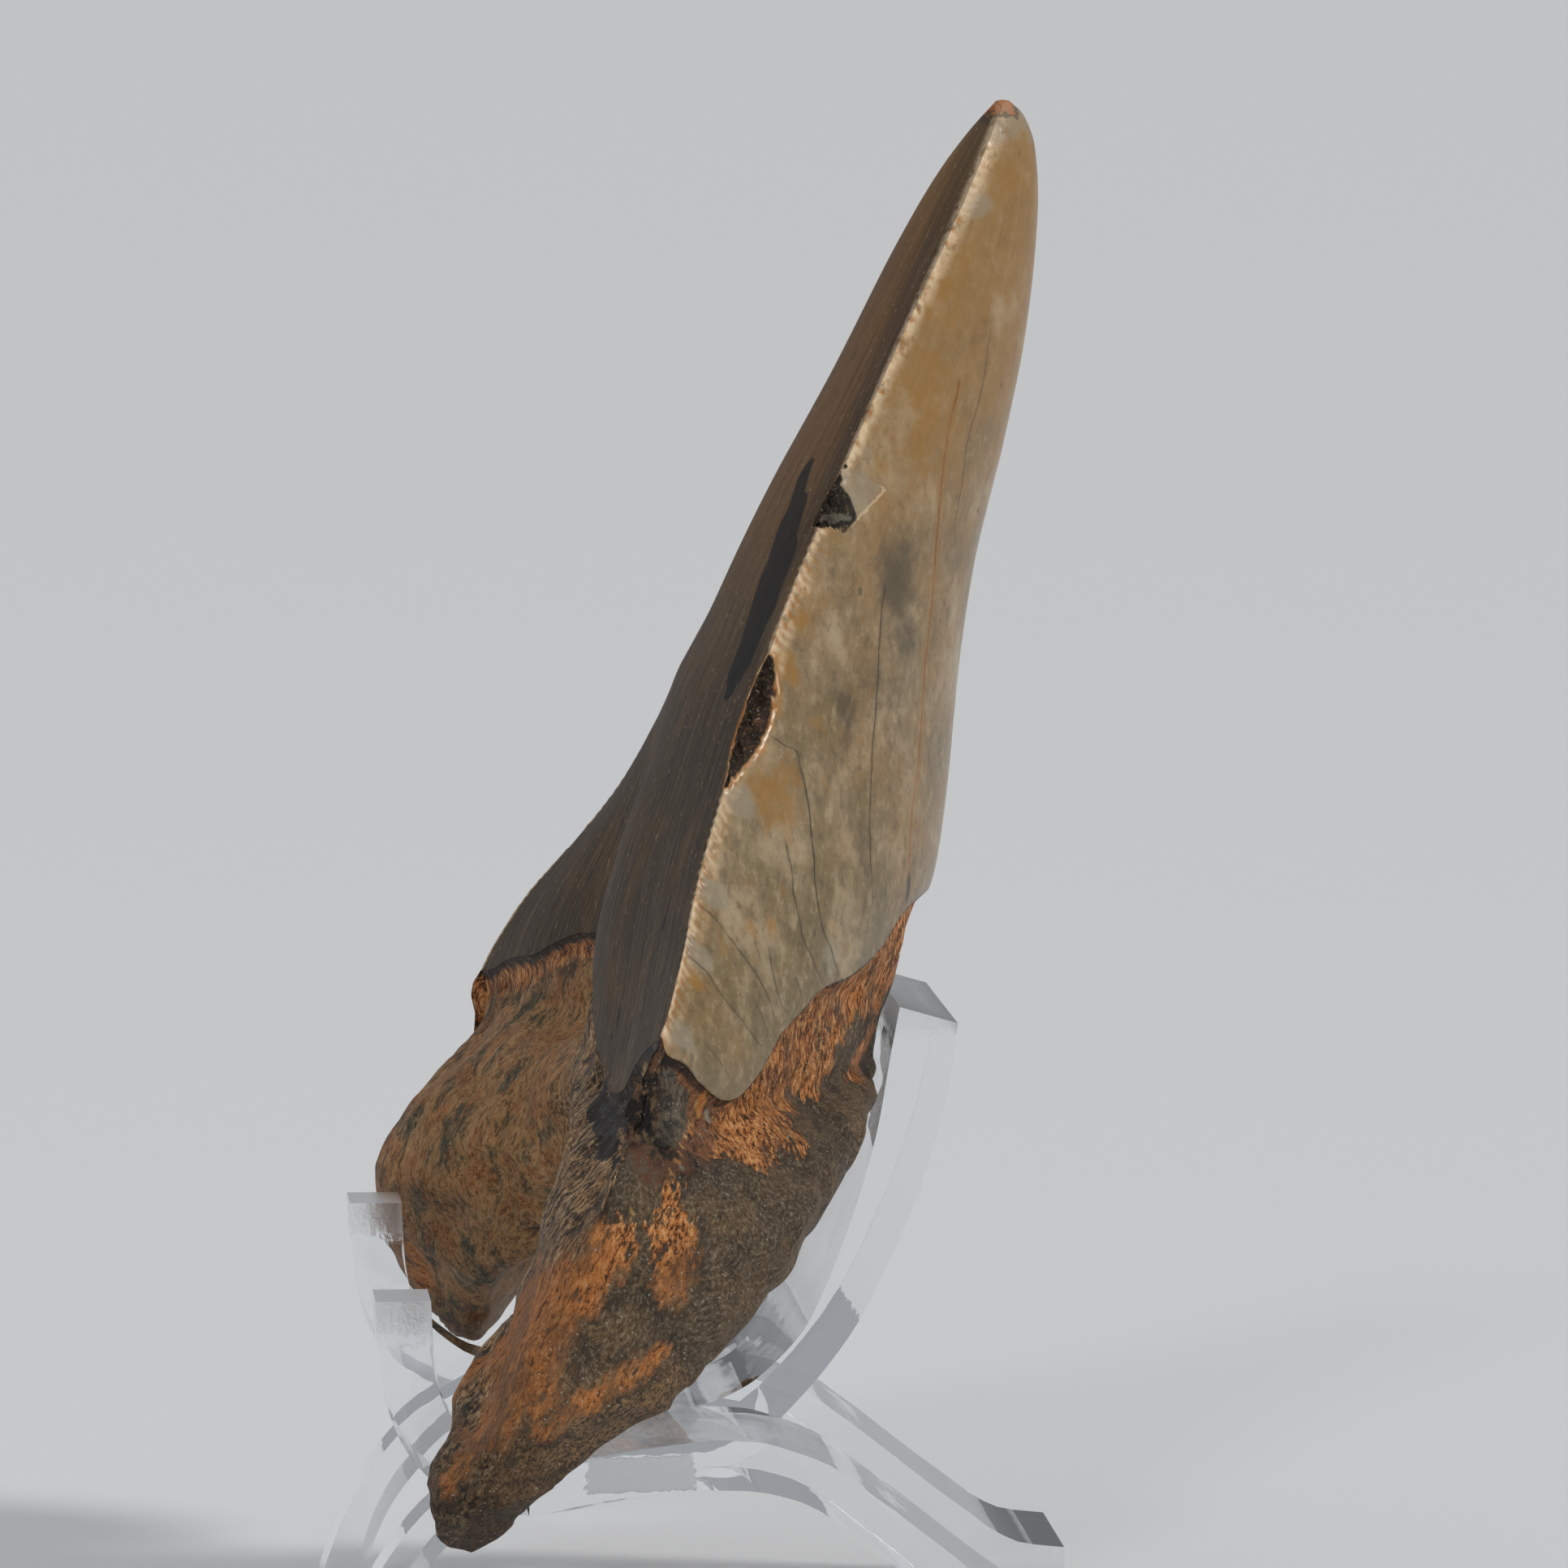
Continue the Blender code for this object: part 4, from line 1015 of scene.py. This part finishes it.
def front_enamel(w, at, middle):
    """Enamel of the front face: brown above, grey below, finely scratched, with black stains."""
    # painted shade: the front face darker near the cutting edge in its upper part
    shaded = w.times(w.rise(at.torn(at.edge, 1.0), 4.4, 1.6), w.rise(at.z, 56.0, 72.0, 0.6))
    scratches = w.noise(w.moved(at.mm, (1, 1, 0.09), (0.0, 0.5, 0.0)), 5.0, 1.0, 0.5)
    fine = w.noise(w.moved(at.grain, (1, 1, 0.06)), 3.4, 3.0, 0.7)
    return w.over(
        w.mix(w.rise(at.wavy(at.z, 12.0), 76.0, 56.0), LABIAL_BROWN, LABIAL_GREY),
        (w.rise(at.z, 84.0, 92.0, 0.6), AMBER),
        (w.rise(middle, 0.48, 0.64, 0.3), LABIAL_BROWN),
        (shaded, LABIAL_DARK),
        (w.rise(at.streaks, 0.5, 0.66, 0.3), ENAMEL_GREY),
        (w.rise(at.streaks, 0.5, 0.36, 0.45), LABIAL_DARK),
        (w.rise(fine, 0.52, 0.66, 0.35), ENAMEL_GREY),
        (w.rise(fine, 0.5, 0.36, 0.5), LABIAL_DARK),
        (w.rise(scratches, 0.68, 0.78, 0.4), BEAD_PALE),
        (at.mark("stain", 0.35, -0.08, 0.12, 0.93), STAIN_BLACK))


def edge_marks(w, at, colour):
    """Amber rims with rust, pearly beads, a pale painted highlight along the crest of the cutting
    edge, clear spots, the rusty tip and the facet beside the upper chip with a painted highlight on
    its lower lip. Returns the colour, the crest's painted highlight and where the beads are."""
    reach = w.times(w.slide(w.rise(at.z, 56.0, 84.0), 0.0, 1.0, 1.7, 0.6),
                    w.slide(at.front, 0.0, 1.0, 1.0, 0.45))
    rough_edge = at.torn(at.edge, 1.2)
    rim = w.times(w.rise(rough_edge, reach, 0.0), w.rise(at.blotches, 0.3, 0.55, 0.75))
    notch = at.torn(w.field("notch"), 0.9)
    beads = w.rise(rough_edge, w.times(reach, 0.8), w.times(reach, 0.25))
    pearly = w.times(beads, w.slide(notch, 1.0, 0.1, 0.45, 1.0),
                     w.rise(at.blotches, 0.6, 0.44, 0.6))
    mauve = w.times(beads, w.rise(notch, 0.8, 0.2), w.rise(at.blotches, 0.5, 0.62, 0.5))
    rusty = w.times(w.rise(rough_edge, w.times(reach, 0.5), 0.1), w.rise(notch, 0.5, 1.0),
                    w.rise(at.soft, -0.06, 0.06, 0.8))
    # painted highlight: a pale line along the crest of the cutting edge, which is made glossier too
    ridge_highlight = w.times(w.rise(rough_edge, w.slide(at.z, 60.0, 80.0, 0.4, 0.8), 0.1),
                    w.rise(at.ragged, -0.14, 0.06))
    top = at.torn(at.z, 3.2)
    rust_tip = w.rise(top, 93.6, 93.85)
    facet = at.torn(w.field("facet"), 0.35)
    # painted highlight along the lower lip of the facet
    lip = w.times(w.rise(w.size(facet), 0.07, 0.02, 0.45), w.rise(at.x, 13.5, 13.2),
                  w.rise(at.z, 71.9, 71.6))
    return w.over(
        colour,
        (rim, AMBER), (pearly, BEAD_PALE), (mauve, CLEAR_GREY),
        (at.mark("clear", 0.9, 0.1, 0.6, 0.5), CLEAR_GREY),
        (rusty, AMBER_DEEP), (w.times(ridge_highlight, 0.75), RIDGE_HIGHLIGHT),
        (w.times(w.rise(top, 91.6, 92.6, 0.5), at.back), CLEAR_GREY),
        (w.times(w.rise(top, 93.2, 93.5, 0.6), w.rest(rust_tip)), BONE_BLACK),
        (w.times(rust_tip, 0.65), AMBER_DEEP),
        (w.rise(facet, -0.02, 0.15, 0.45), CLEAR_GREY), (lip, RIDGE_HIGHLIGHT)), ridge_highlight, beads


def crack_gap(w, at, path):
    """How far a point lies from a crack, in mm, and 1 along the crack, fading at its ends. The
    crack is a smooth line through its points (height, x)."""
    heights, xs = (np.array(v, float) for v in zip(*sorted(path)))
    low, high, left, right = (float(v) for v in (heights[0], heights[-1], xs.min() - 0.5,
                                                 xs.max() + 0.5))
    shares = np.column_stack([(heights - low) / (high - low), (xs - left) / (right - left)])
    drawn = w.place("FloatCurve")
    w.feed(drawn.inputs["Value"], w.maths("DIVIDE", w.less(at.z, low), high - low))
    knots = drawn.mapping.curves[0].points
    knots[0].location, knots[1].location = shares[0], shares[-1]
    for share in shares[1:-1]:
        knots.new(float(share[0]), float(share[1]))
    for knot in knots:
        knot.handle_type = "AUTO_CLAMPED"
    drawn.mapping.update()
    crack_x = w.plus(w.times(drawn.outputs[0], right - left), left)
    slant = math.hypot(1.0, float(xs[-1] - xs[0]) / (high - low))
    gap = w.size(w.less(at.torn(at.x, 0.28), crack_x))
    fade = w.times(w.rise(at.z, low - 0.2, low + 0.5), w.rise(at.z, high + 0.2, high - 0.6))
    return w.times(gap, 1 / slant), fade


def crack_marks(w, at, colour):
    """Hairline cracks of both faces, the rust-filled one with its dark end, and small pits."""
    deepest = 0.0
    for cracks, face in ((BACK_CRACKS, at.back), (FRONT_CRACKS, at.front)):
        for path, strength in cracks:
            gap, fade = crack_gap(w, at, path)
            here = w.most(w.rise(gap, 0.07, 0.025), w.rise(gap, 0.24, 0.0, 0.25))
            deepest = w.most(w.times(here, fade, face, strength), deepest)
    gap, fade = crack_gap(w, at, RUST_CRACK)
    fade = w.times(fade, at.back)
    filled = w.times(w.rise(gap, 0.1, 0.05, 0.8), fade,
                     w.slide(at.blotches, 0.35, 0.6, 0.35, 1.0))
    dark_end = w.times(w.rise(gap, 0.34, 0.22, 0.9), w.rise(at.z, 46.0, 47.0),
                       w.rise(at.z, 48.8, 47.8), at.back)
    pits = w.rise(w.cells(w.moved(at.mm, (1, 1, 0.75)), 0.42), 0.11, 0.06, 0.65)
    return w.over(
        colour,
        (w.times(deepest, w.slide(at.blotches, 0.3, 0.5, 0.65, 1.0)), CRACK_DARK),
        (w.times(w.rise(gap, 0.55, 0.0, 0.5), fade), AMBER),
        (filled, CRACK_WARM), (dark_end, CRACK_DARK),
        (w.times(pits, w.rise(at.soft, 0.0, 0.06)), CLOUD_GREY))


def bone(w, at):
    """Root: charcoal and brown crumbs, a striated flank on the front and a mottled -X lobe.
    Returns the colour, the relief of the crumbs and their uneven tone."""
    crumb, crumb_relief = w.crumbs(w.moved(at.bark, (1, 1, 0.75)), 4.4)
    strand, _ = w.crumbs(w.moved(at.bark, (1, 1, 0.5)), 3.2)
    area = w.noise(w.moved(at.mm, shift=(3, 9, 4)), 0.22, 4.0, 0.6)
    patches = w.noise(w.moved(at.bark, (1, 1, 0.4), shift=(8, 2, 5)), 0.34, 4.0, 0.7)
    crumbly = w.over(
        w.mix(w.rise(area, 0.42, 0.58), BONE_DARK, BONE_BROWN),
        (w.rise(at.blotches, 0.52, 0.64, 0.6), BONE_COAL),
        (w.rise(crumb, 0.45, 0.0, 0.6), BONE_BLACK),
        (w.rise(crumb, 0.55, 1.0, 0.55), BONE_LIGHT),
        (w.times(w.rise(at.wavy(at.z, 16.0), 25.0, 19.0, 0.45), w.rise(crumb, 0.35, 0.7)),
         FLANK_TAN))
    flank = w.over(
        w.mix(w.rise(strand, 0.35, 0.6), FLANK_BROWN, FLANK_TAN),
        (w.rise(area, 0.5, 0.6, 0.55), LICHEN),
        (w.rise(strand, 0.4, 0.2, 0.95), BONE_BLACK),
        (w.rise(strand, 0.6, 0.8, 0.85), FLANK_PALE),
        (w.rise(at.fibres, 0.54, 0.64, 0.5), FLANK_PALE),
        (w.rise(at.fibres, 0.45, 0.36, 0.7), BONE_BLACK),
        (w.rise(at.ragged, 0.06, 0.14, 0.75), BONE_COAL))
    mottled = w.over(
        w.mix(w.rise(patches, 0.36, 0.5), LICHEN, FLANK_TAN),
        (w.rise(at.blotches, 0.46, 0.62, 0.6), ORANGE),
        (w.rise(patches, 0.52, 0.7, 0.8), BONE_COAL),
        (w.rise(strand, 0.4, 0.15, 0.6), BONE_BLACK),
        (w.rise(strand, 0.7, 1.0, 0.4), FLANK_PALE))
    on_far_lobe = w.rise(at.wavy(at.x, 10.0), -2.0, -14.0)
    colour = w.over(
        crumbly,
        (w.times(at.front, w.rise(at.soft, -0.2, -0.08)), flank),
        (w.times(on_far_lobe, w.plus(w.times(at.front, 0.35), 0.6)), mottled),
        (w.rise(at.torn(at.z, 8.0), 19.0, 14.0, 0.7), BONE_BLACK))
    return colour, crumb_relief, crumb


def rust(w, at, colour, specks):
    """Orange bands and patches with charcoal round them: crumbly fibres under the enamel.
    Returns the colour, where the orange is and its relief."""
    in_band = w.rise(at.border, -10.0, -7.0)
    hanging = w.times(w.less(at.fibres, 0.5), w.slide(in_band, 0.0, 1.0, 1.6, 3.0))
    depth = w.plus(at.wavy(at.torn(w.field("orange"), 1.9), 1.2), hanging)
    mask = w.rise(depth, w.slide(in_band, 0.0, 1.0, -0.5, -0.08),
                  w.slide(in_band, 0.0, 1.0, 0.6, 0.18))
    tuft, tuft_relief = w.crumbs(w.moved(at.bent, (1, 1, 0.5)), 2.8)
    holes = w.noise(w.moved(at.bent, (1, 1, 0.45)), 0.9, 4.0, 0.7)
    shade = at.torn(at.soft, 0.7)
    embossed = w.slide(in_band, 0.0, 1.0, 0.5, 1.0)
    dull = w.slide(in_band, 1.0, 0.0, 0.1, 0.5)
    orange = w.over(
        ORANGE,
        (w.rise(shade, 0.06, -0.2, 0.75), ORANGE_DEEP),
        (w.rise(shade, -0.04, -0.22, 0.4), RUSSET),
        (w.rise(tuft, 0.55, 0.95, w.times(embossed, 0.85)), ORANGE_LIGHT),
        (w.rise(tuft, 0.45, 0.2, w.times(embossed, 0.95)), ORANGE_DEEP),
        (w.times(specks, 0.7), ORANGE_DEEP),
        (w.rise(tuft, 0.26, 0.06, 0.9), BONE_BLACK),
        (w.rise(holes, 0.42, 0.37, 0.9), BONE_COAL),
        (w.rise(shade, 0.2, -0.1, dull), FLANK_BROWN))
    coal = w.times(w.rise(depth, -1.3, -0.3, 0.7), w.rise(at.ragged, -0.08, 0.06))
    return w.over(colour, (coal, BONE_COAL), (mask, orange)), mask, tuft_relief


def worn_corner(w, at, colour):
    """The +X shoulder: a grey glassy lump, dark beside it, an amber rim and a russet knob.
    Returns the colour and where it is glassy."""
    cloudy = w.noise(at.mm, 1.4, 4.0, 0.7)

    def clouded(low, high, dark, light):
        """A cloudy blend of two tones."""
        return w.mix(w.rise(cloudy, low, high), dark, light)

    clear = at.mark("glassy", 0.6, 0.1, 0.3)
    glass = at.mark("glass", 0.8, 0.05, 0.35)
    return w.over(
        colour,
        (at.mark("glass", 1.6, -1.9, -1.3, 0.75), clouded(0.4, 0.56, BONE_BLACK, RUSSET)),
        (at.mark("corner", 0.9, 0.0, 0.35), clouded(0.45, 0.62, BONE_BLACK, BONE_BROWN)),
        (glass, clouded(0.38, 0.6, BONE_COAL, GLASS_BROWN)),
        (at.mark("russet", 1.0, 0.1, 0.5), clouded(0.4, 0.6, RUSSET, GLASS_BROWN)),
        (w.times(clear, 0.9), CLEAR_GREY),
        (at.mark("rim", 0.7, 0.16, 0.36, 0.9), clouded(0.4, 0.6, ORANGE, OCHRE)),
        (w.rise(w.field("ochre"), 0.1, 0.4), OCHRE)), w.most(clear, glass)


def breaks(w, at, colour):
    """Fresh breaks: black with gold grains inside an amber lip with a pale painted highlight on its
    crest in places, and a clear grey patch in the upper chip. Returns the colour, where the break
    is and its relief."""
    above_corner, below_upper_chip = w.rise(at.z, 41.6, 42.4), w.rise(at.z, 66.0, 64.0)
    depth = at.torn(w.field("broken"), 0.3)
    grainy = w.noise(at.mm, 4.5, 3.0, 0.7)
    inner = w.over(
        BREAK_BLACK,
        (w.rise(grainy, 0.54, 0.68, 0.8), BREAK_GOLD),
        (w.times(w.rise(at.ragged, 0.02, 0.14, 0.6), w.rise(at.z, 60.5, 58.5)), RUSSET),
        (w.times(at.mark("clear", 1.5, 0.3, 0.8, 0.5), w.rise(at.z, 66.0, 68.0)), CLEAR_GREY))
    broken = w.times(w.rise(depth, 0.12, 0.26), above_corner)
    on_lip = w.times(above_corner, below_upper_chip)
    # painted highlight on the crest of the amber lip
    crest_highlight = w.times(w.rise(w.size(depth), 0.1, 0.03, 0.7), w.rise(at.ragged, -0.02, 0.05))
    return w.over(
        colour,
        (w.times(w.rise(depth, -0.45, -0.05, 0.7), on_lip),
         w.mix(w.rise(at.blotches, 0.42, 0.6), AMBER, ORANGE)),
        (w.times(crest_highlight, on_lip), RIDGE_HIGHLIGHT), (w.times(broken, 0.97), inner)), broken, grainy


def seam_marks(w, at, under):
    """The black seam where enamel meets bone: thin on the back, broad and glassy on the front,
    with the black marks round the lowest point of the front enamel."""
    gap = w.size(at.torn(w.plus(at.border, 0.1), 0.4))
    thin = w.times(w.rise(gap, 0.26, 0.1, 0.85), w.rise(at.blotches, 0.38, 0.5))
    broad = w.rise(at.torn(w.plus(at.border, w.field("seam")), 1.2), -0.1, 0.3)
    broad = w.most(w.times(broad, at.front), at.mark("black", 2.4, -0.1, 0.15))
    return w.most(thin, w.times(broad, under, 0.95))


def make_tooth_finish(grain_group):
    """Polished fossil enamel over a crumbly, rust-stained band and a dark speckled root."""
    material, w, shader, mm = new_material("fossil tooth")
    at = Place(w, mm)
    enamel, middle, small = back_enamel(w, at)
    enamel = w.mix(at.front, enamel, front_enamel(w, at, middle))
    enamel, ridge_highlight, beads = edge_marks(w, at, enamel)
    enamel = crack_marks(w, at, enamel)
    root, crumb_relief, crumb = bone(w, at)
    specks = w.group(grain_group, place=mm, fine_scale=5.0, coarse_scale=0.3)["Specks"]
    root, orange_mask, tuft_relief = rust(w, at, root, specks)
    root, glassy = worn_corner(w, at, root)

    under = w.rise(at.border, 0.04, -0.04)
    seam = seam_marks(w, at, under)
    colour = w.mix(seam, w.mix(under, enamel, root), SEAM_TONE)
    colour, broken, break_relief = breaks(w, at, colour)
    # painted highlights: tiny bright specks on the bone and in the breaks, which are made glossier
    # too
    glints = w.times(w.rise(w.cells(mm, 2.8), 0.2, 0.1), w.rise(crumb, 0.35, 0.6),
                     w.most(under, broken))
    w.feed(shader.inputs["Base Color"], w.mix(w.times(glints, 0.55), colour, PAINTED_GLINT))

    # gloss: satin enamel, dull bone with sparkling grains, glassy black seam
    bare = w.times(w.rest(under), w.rest(broken))
    rough = w.plus(at.torn(w.slide(bare, 0.0, 1.0, 0.55, 0.34), 0.16),
                   w.times(at.front, bare, 0.28), w.times(ridge_highlight, bare, -0.18))
    wet = w.most(glints, w.times(glassy, under), w.times(seam, w.rise(at.ragged, 0.06, 0.12)))
    w.feed(shader.inputs["Roughness"], w.maths("SUBTRACT", rough, w.times(wet, 0.22), clamp=True))
    w.feed(shader.inputs["Coat Weight"], w.times(bare, w.slide(at.front, 0.0, 1.0, 0.2, 0.0)))
    shader.inputs["Coat Roughness"].default_value = 0.15
    shader.inputs["IOR"].default_value = 1.5
    shader.inputs["Specular IOR Level"].default_value = 0.25

    # relief too fine for the skin
    bone_relief = w.plus(w.mix_value(orange_mask, crumb_relief, tuft_relief),
                         w.times(at.fibres, 0.15))
    enamel_relief = w.plus(w.times(at.blotches, beads, 0.3), w.times(small, 0.045))
    height = w.plus(w.mix_value(under, enamel_relief, bone_relief),
                    w.times(broken, break_relief, 0.8))
    w.feed(shader.inputs["Normal"], w.bump(1.0, 0.4 * MM, height))
    return material


# ---- finish of the stand and the floor ------------------------------------------------------
CUT_MARK_Y, CUT_MARK_Z = -5.2, 14.55    # middle of the mark on the deck's side, mm
HOOK_FROST_Z, POST_FROST_Z = 22.0, 38.3  # heights at which the frosted ends start, mm


def make_clear_finish(grain_group):
    """Clear moulded plastic, frosted on the hook tips, on the post's top and at the mark where
    the moulding was cut from its runner."""
    material, w, shader, mm = new_material("clear moulded plastic")
    shader.inputs["Base Color"].default_value = (0.96, 0.975, 0.985, 1)
    shader.inputs["Transmission Weight"].default_value = 1.0
    shader.inputs["IOR"].default_value = 1.49
    shader.inputs["Metallic"].default_value = 0.0
    x, y, z = w.split(mm)
    grain = w.group(grain_group, place=mm, fine_scale=3.0, coarse_scale=0.9)
    wander = w.times(w.less(grain["Tone"], 0.5), 1.6)
    off_y = w.plus(w.size(w.less(y, CUT_MARK_Y)), wander)
    off_z = w.plus(w.size(w.less(z, w.plus(CUT_MARK_Z, w.times(y, 0.03)))), w.times(wander, 0.4))
    cut_mark = w.times(w.rise(off_y, 3.2, 3.0), w.rise(off_z, 1.05, 0.95), w.rise(x, 25.2, 25.4))
    hook_tips = w.times(w.rise(w.plus(z, wander), HOOK_FROST_Z, HOOK_FROST_Z + 1.2),
                        w.rise(y, -16.0, -17.0))
    post_top = w.rise(w.plus(z, w.times(wander, 0.5)), POST_FROST_Z, POST_FROST_Z + 1.0)
    frost = w.most(cut_mark, w.times(w.most(hook_tips, post_top), 0.8))
    w.feed(shader.inputs["Roughness"],
           w.plus(w.times(frost, 0.42), w.times(grain["Specks"], 0.01), 0.015))
    waves = w.times(w.noise(w.moved(mm, (0.4, 1, 1)), 0.35, 2.0), 0.22)
    w.feed(shader.inputs["Normal"],
           w.bump(0.35, 0.2 * MM, w.plus(w.times(frost, grain["Tone"]), waves)))
    return material


def make_floor_finish():
    """Plain pale matt sheet."""
    material = bpy.data.materials.new("pale floor")
    material.use_nodes = True
    shader = material.node_tree.nodes["Principled BSDF"]
    shader.inputs["Base Color"].default_value = (0.74, 0.75, 0.76, 1)
    shader.inputs["Roughness"].default_value = 0.7
    return material


# ---- stage ----------------------------------------------------------------------------------
FLOOR_REACH = 14.0      # m, from the middle to each side
CAMERA_PLACE = (0.687038, -0.044194, 0.115533)
CAMERA_LOOK = (-0.993336, 0.071203, -0.090633)
LENS = 260.87           # mm, behind a frame 36 mm wide


def add_floor():
    """A wide flat floor under the feet."""
    mesh = bpy.data.meshes.new("floor")
    r = FLOOR_REACH
    mesh.from_pydata([(-r, -r, 0), (r, -r, 0), (r, r, 0), (-r, r, 0)], [], [(0, 1, 2, 3)])
    floor = add_piece(mesh, make_floor_finish())


def aim(thing, target):
    """Turns a lamp or camera at a place so that it looks at another."""
    direction = Vector(target) - thing.location
    thing.rotation_euler = direction.to_track_quat("-Z", "Y").to_euler()


def add_lamp(name, kind, place, target, power, colour=(1, 1, 1), **shape):
    """A lamp at a place that looks at another, with the settings of its shape."""
    data = bpy.data.lights.new(name, kind)
    data.energy, data.color = power, colour
    for setting, value in shape.items():
        setattr(data, setting, value)
    lamp = bpy.data.objects.new(name, data)
    lamp.location = place
    bpy.context.scene.collection.objects.link(lamp)
    aim(lamp, target)


def add_light():
    """A soft key on the side of the back face, a softer light from above, a small lamp for the
    glints along the near edge, and an even pale surround."""
    add_lamp("key", "SUN", (0.75, 1.25, 1.0), (0, 0, 0), 1.5, (1.0, 0.975, 0.94),
             angle=math.radians(14))
    add_lamp("above", "SUN", (-0.35, -0.25, 1.6), (0, 0, 0), 0.4, (0.96, 0.98, 1.0),
             angle=math.radians(50))
    add_lamp("glint", "AREA", (1.1, -0.35, 0.75), (0, 0, 0.045), 2.0, shape="RECTANGLE",
             size=0.16, size_y=0.16)
    world = bpy.data.worlds.new("surround")
    world.use_nodes = True
    w = Wiring(world.node_tree)
    up = w.split(w.place("TexCoord").outputs["Generated"])[2]
    w.feed(world.node_tree.nodes["Background"].inputs["Color"],
           w.mix(w.rise(up, 0.02, 0.6), (0.30, 0.31, 0.33), (0.36, 0.365, 0.375)))
    bpy.context.scene.world = world


def add_camera():
    """Low three-quarter side view from +X, level."""
    data = bpy.data.cameras.new("camera")
    data.sensor_width = 36.0
    data.lens = LENS
    data.clip_start, data.clip_end = 0.02, 20.0
    camera = bpy.data.objects.new("camera", data)
    camera.location = CAMERA_PLACE
    bpy.context.scene.collection.objects.link(camera)
    aim(camera, tuple(place + look for place, look in zip(CAMERA_PLACE, CAMERA_LOOK)))
    bpy.context.scene.camera = camera


def main():
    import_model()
    add_camera()
    add_light()
    add_floor()
    grain_group = make_grain_group()

    points, share_across, values = tooth_skin()
    mesh = skin_mesh("tooth_fossil", points, tooth_markings(points, share_across, values))
    mesh.shade_smooth()
    tooth = add_piece(mesh, make_tooth_finish(grain_group))
    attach(tooth, "root")
    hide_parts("tooth")

    stand = add_piece(stand_mesh(), make_clear_finish(grain_group))
    stand.data.shade_smooth()
    rounding = stand.modifiers.new("rounded edges", "BEVEL")
    rounding.width = 0.28 * MM
    rounding.segments = 3
    rounding.limit_method = "ANGLE"
    rounding.angle_limit = math.radians(35)
    rounding.harden_normals = True
    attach(stand, "root")
    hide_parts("stand")

    bpy.context.scene.view_settings.view_transform = "Standard"


main()
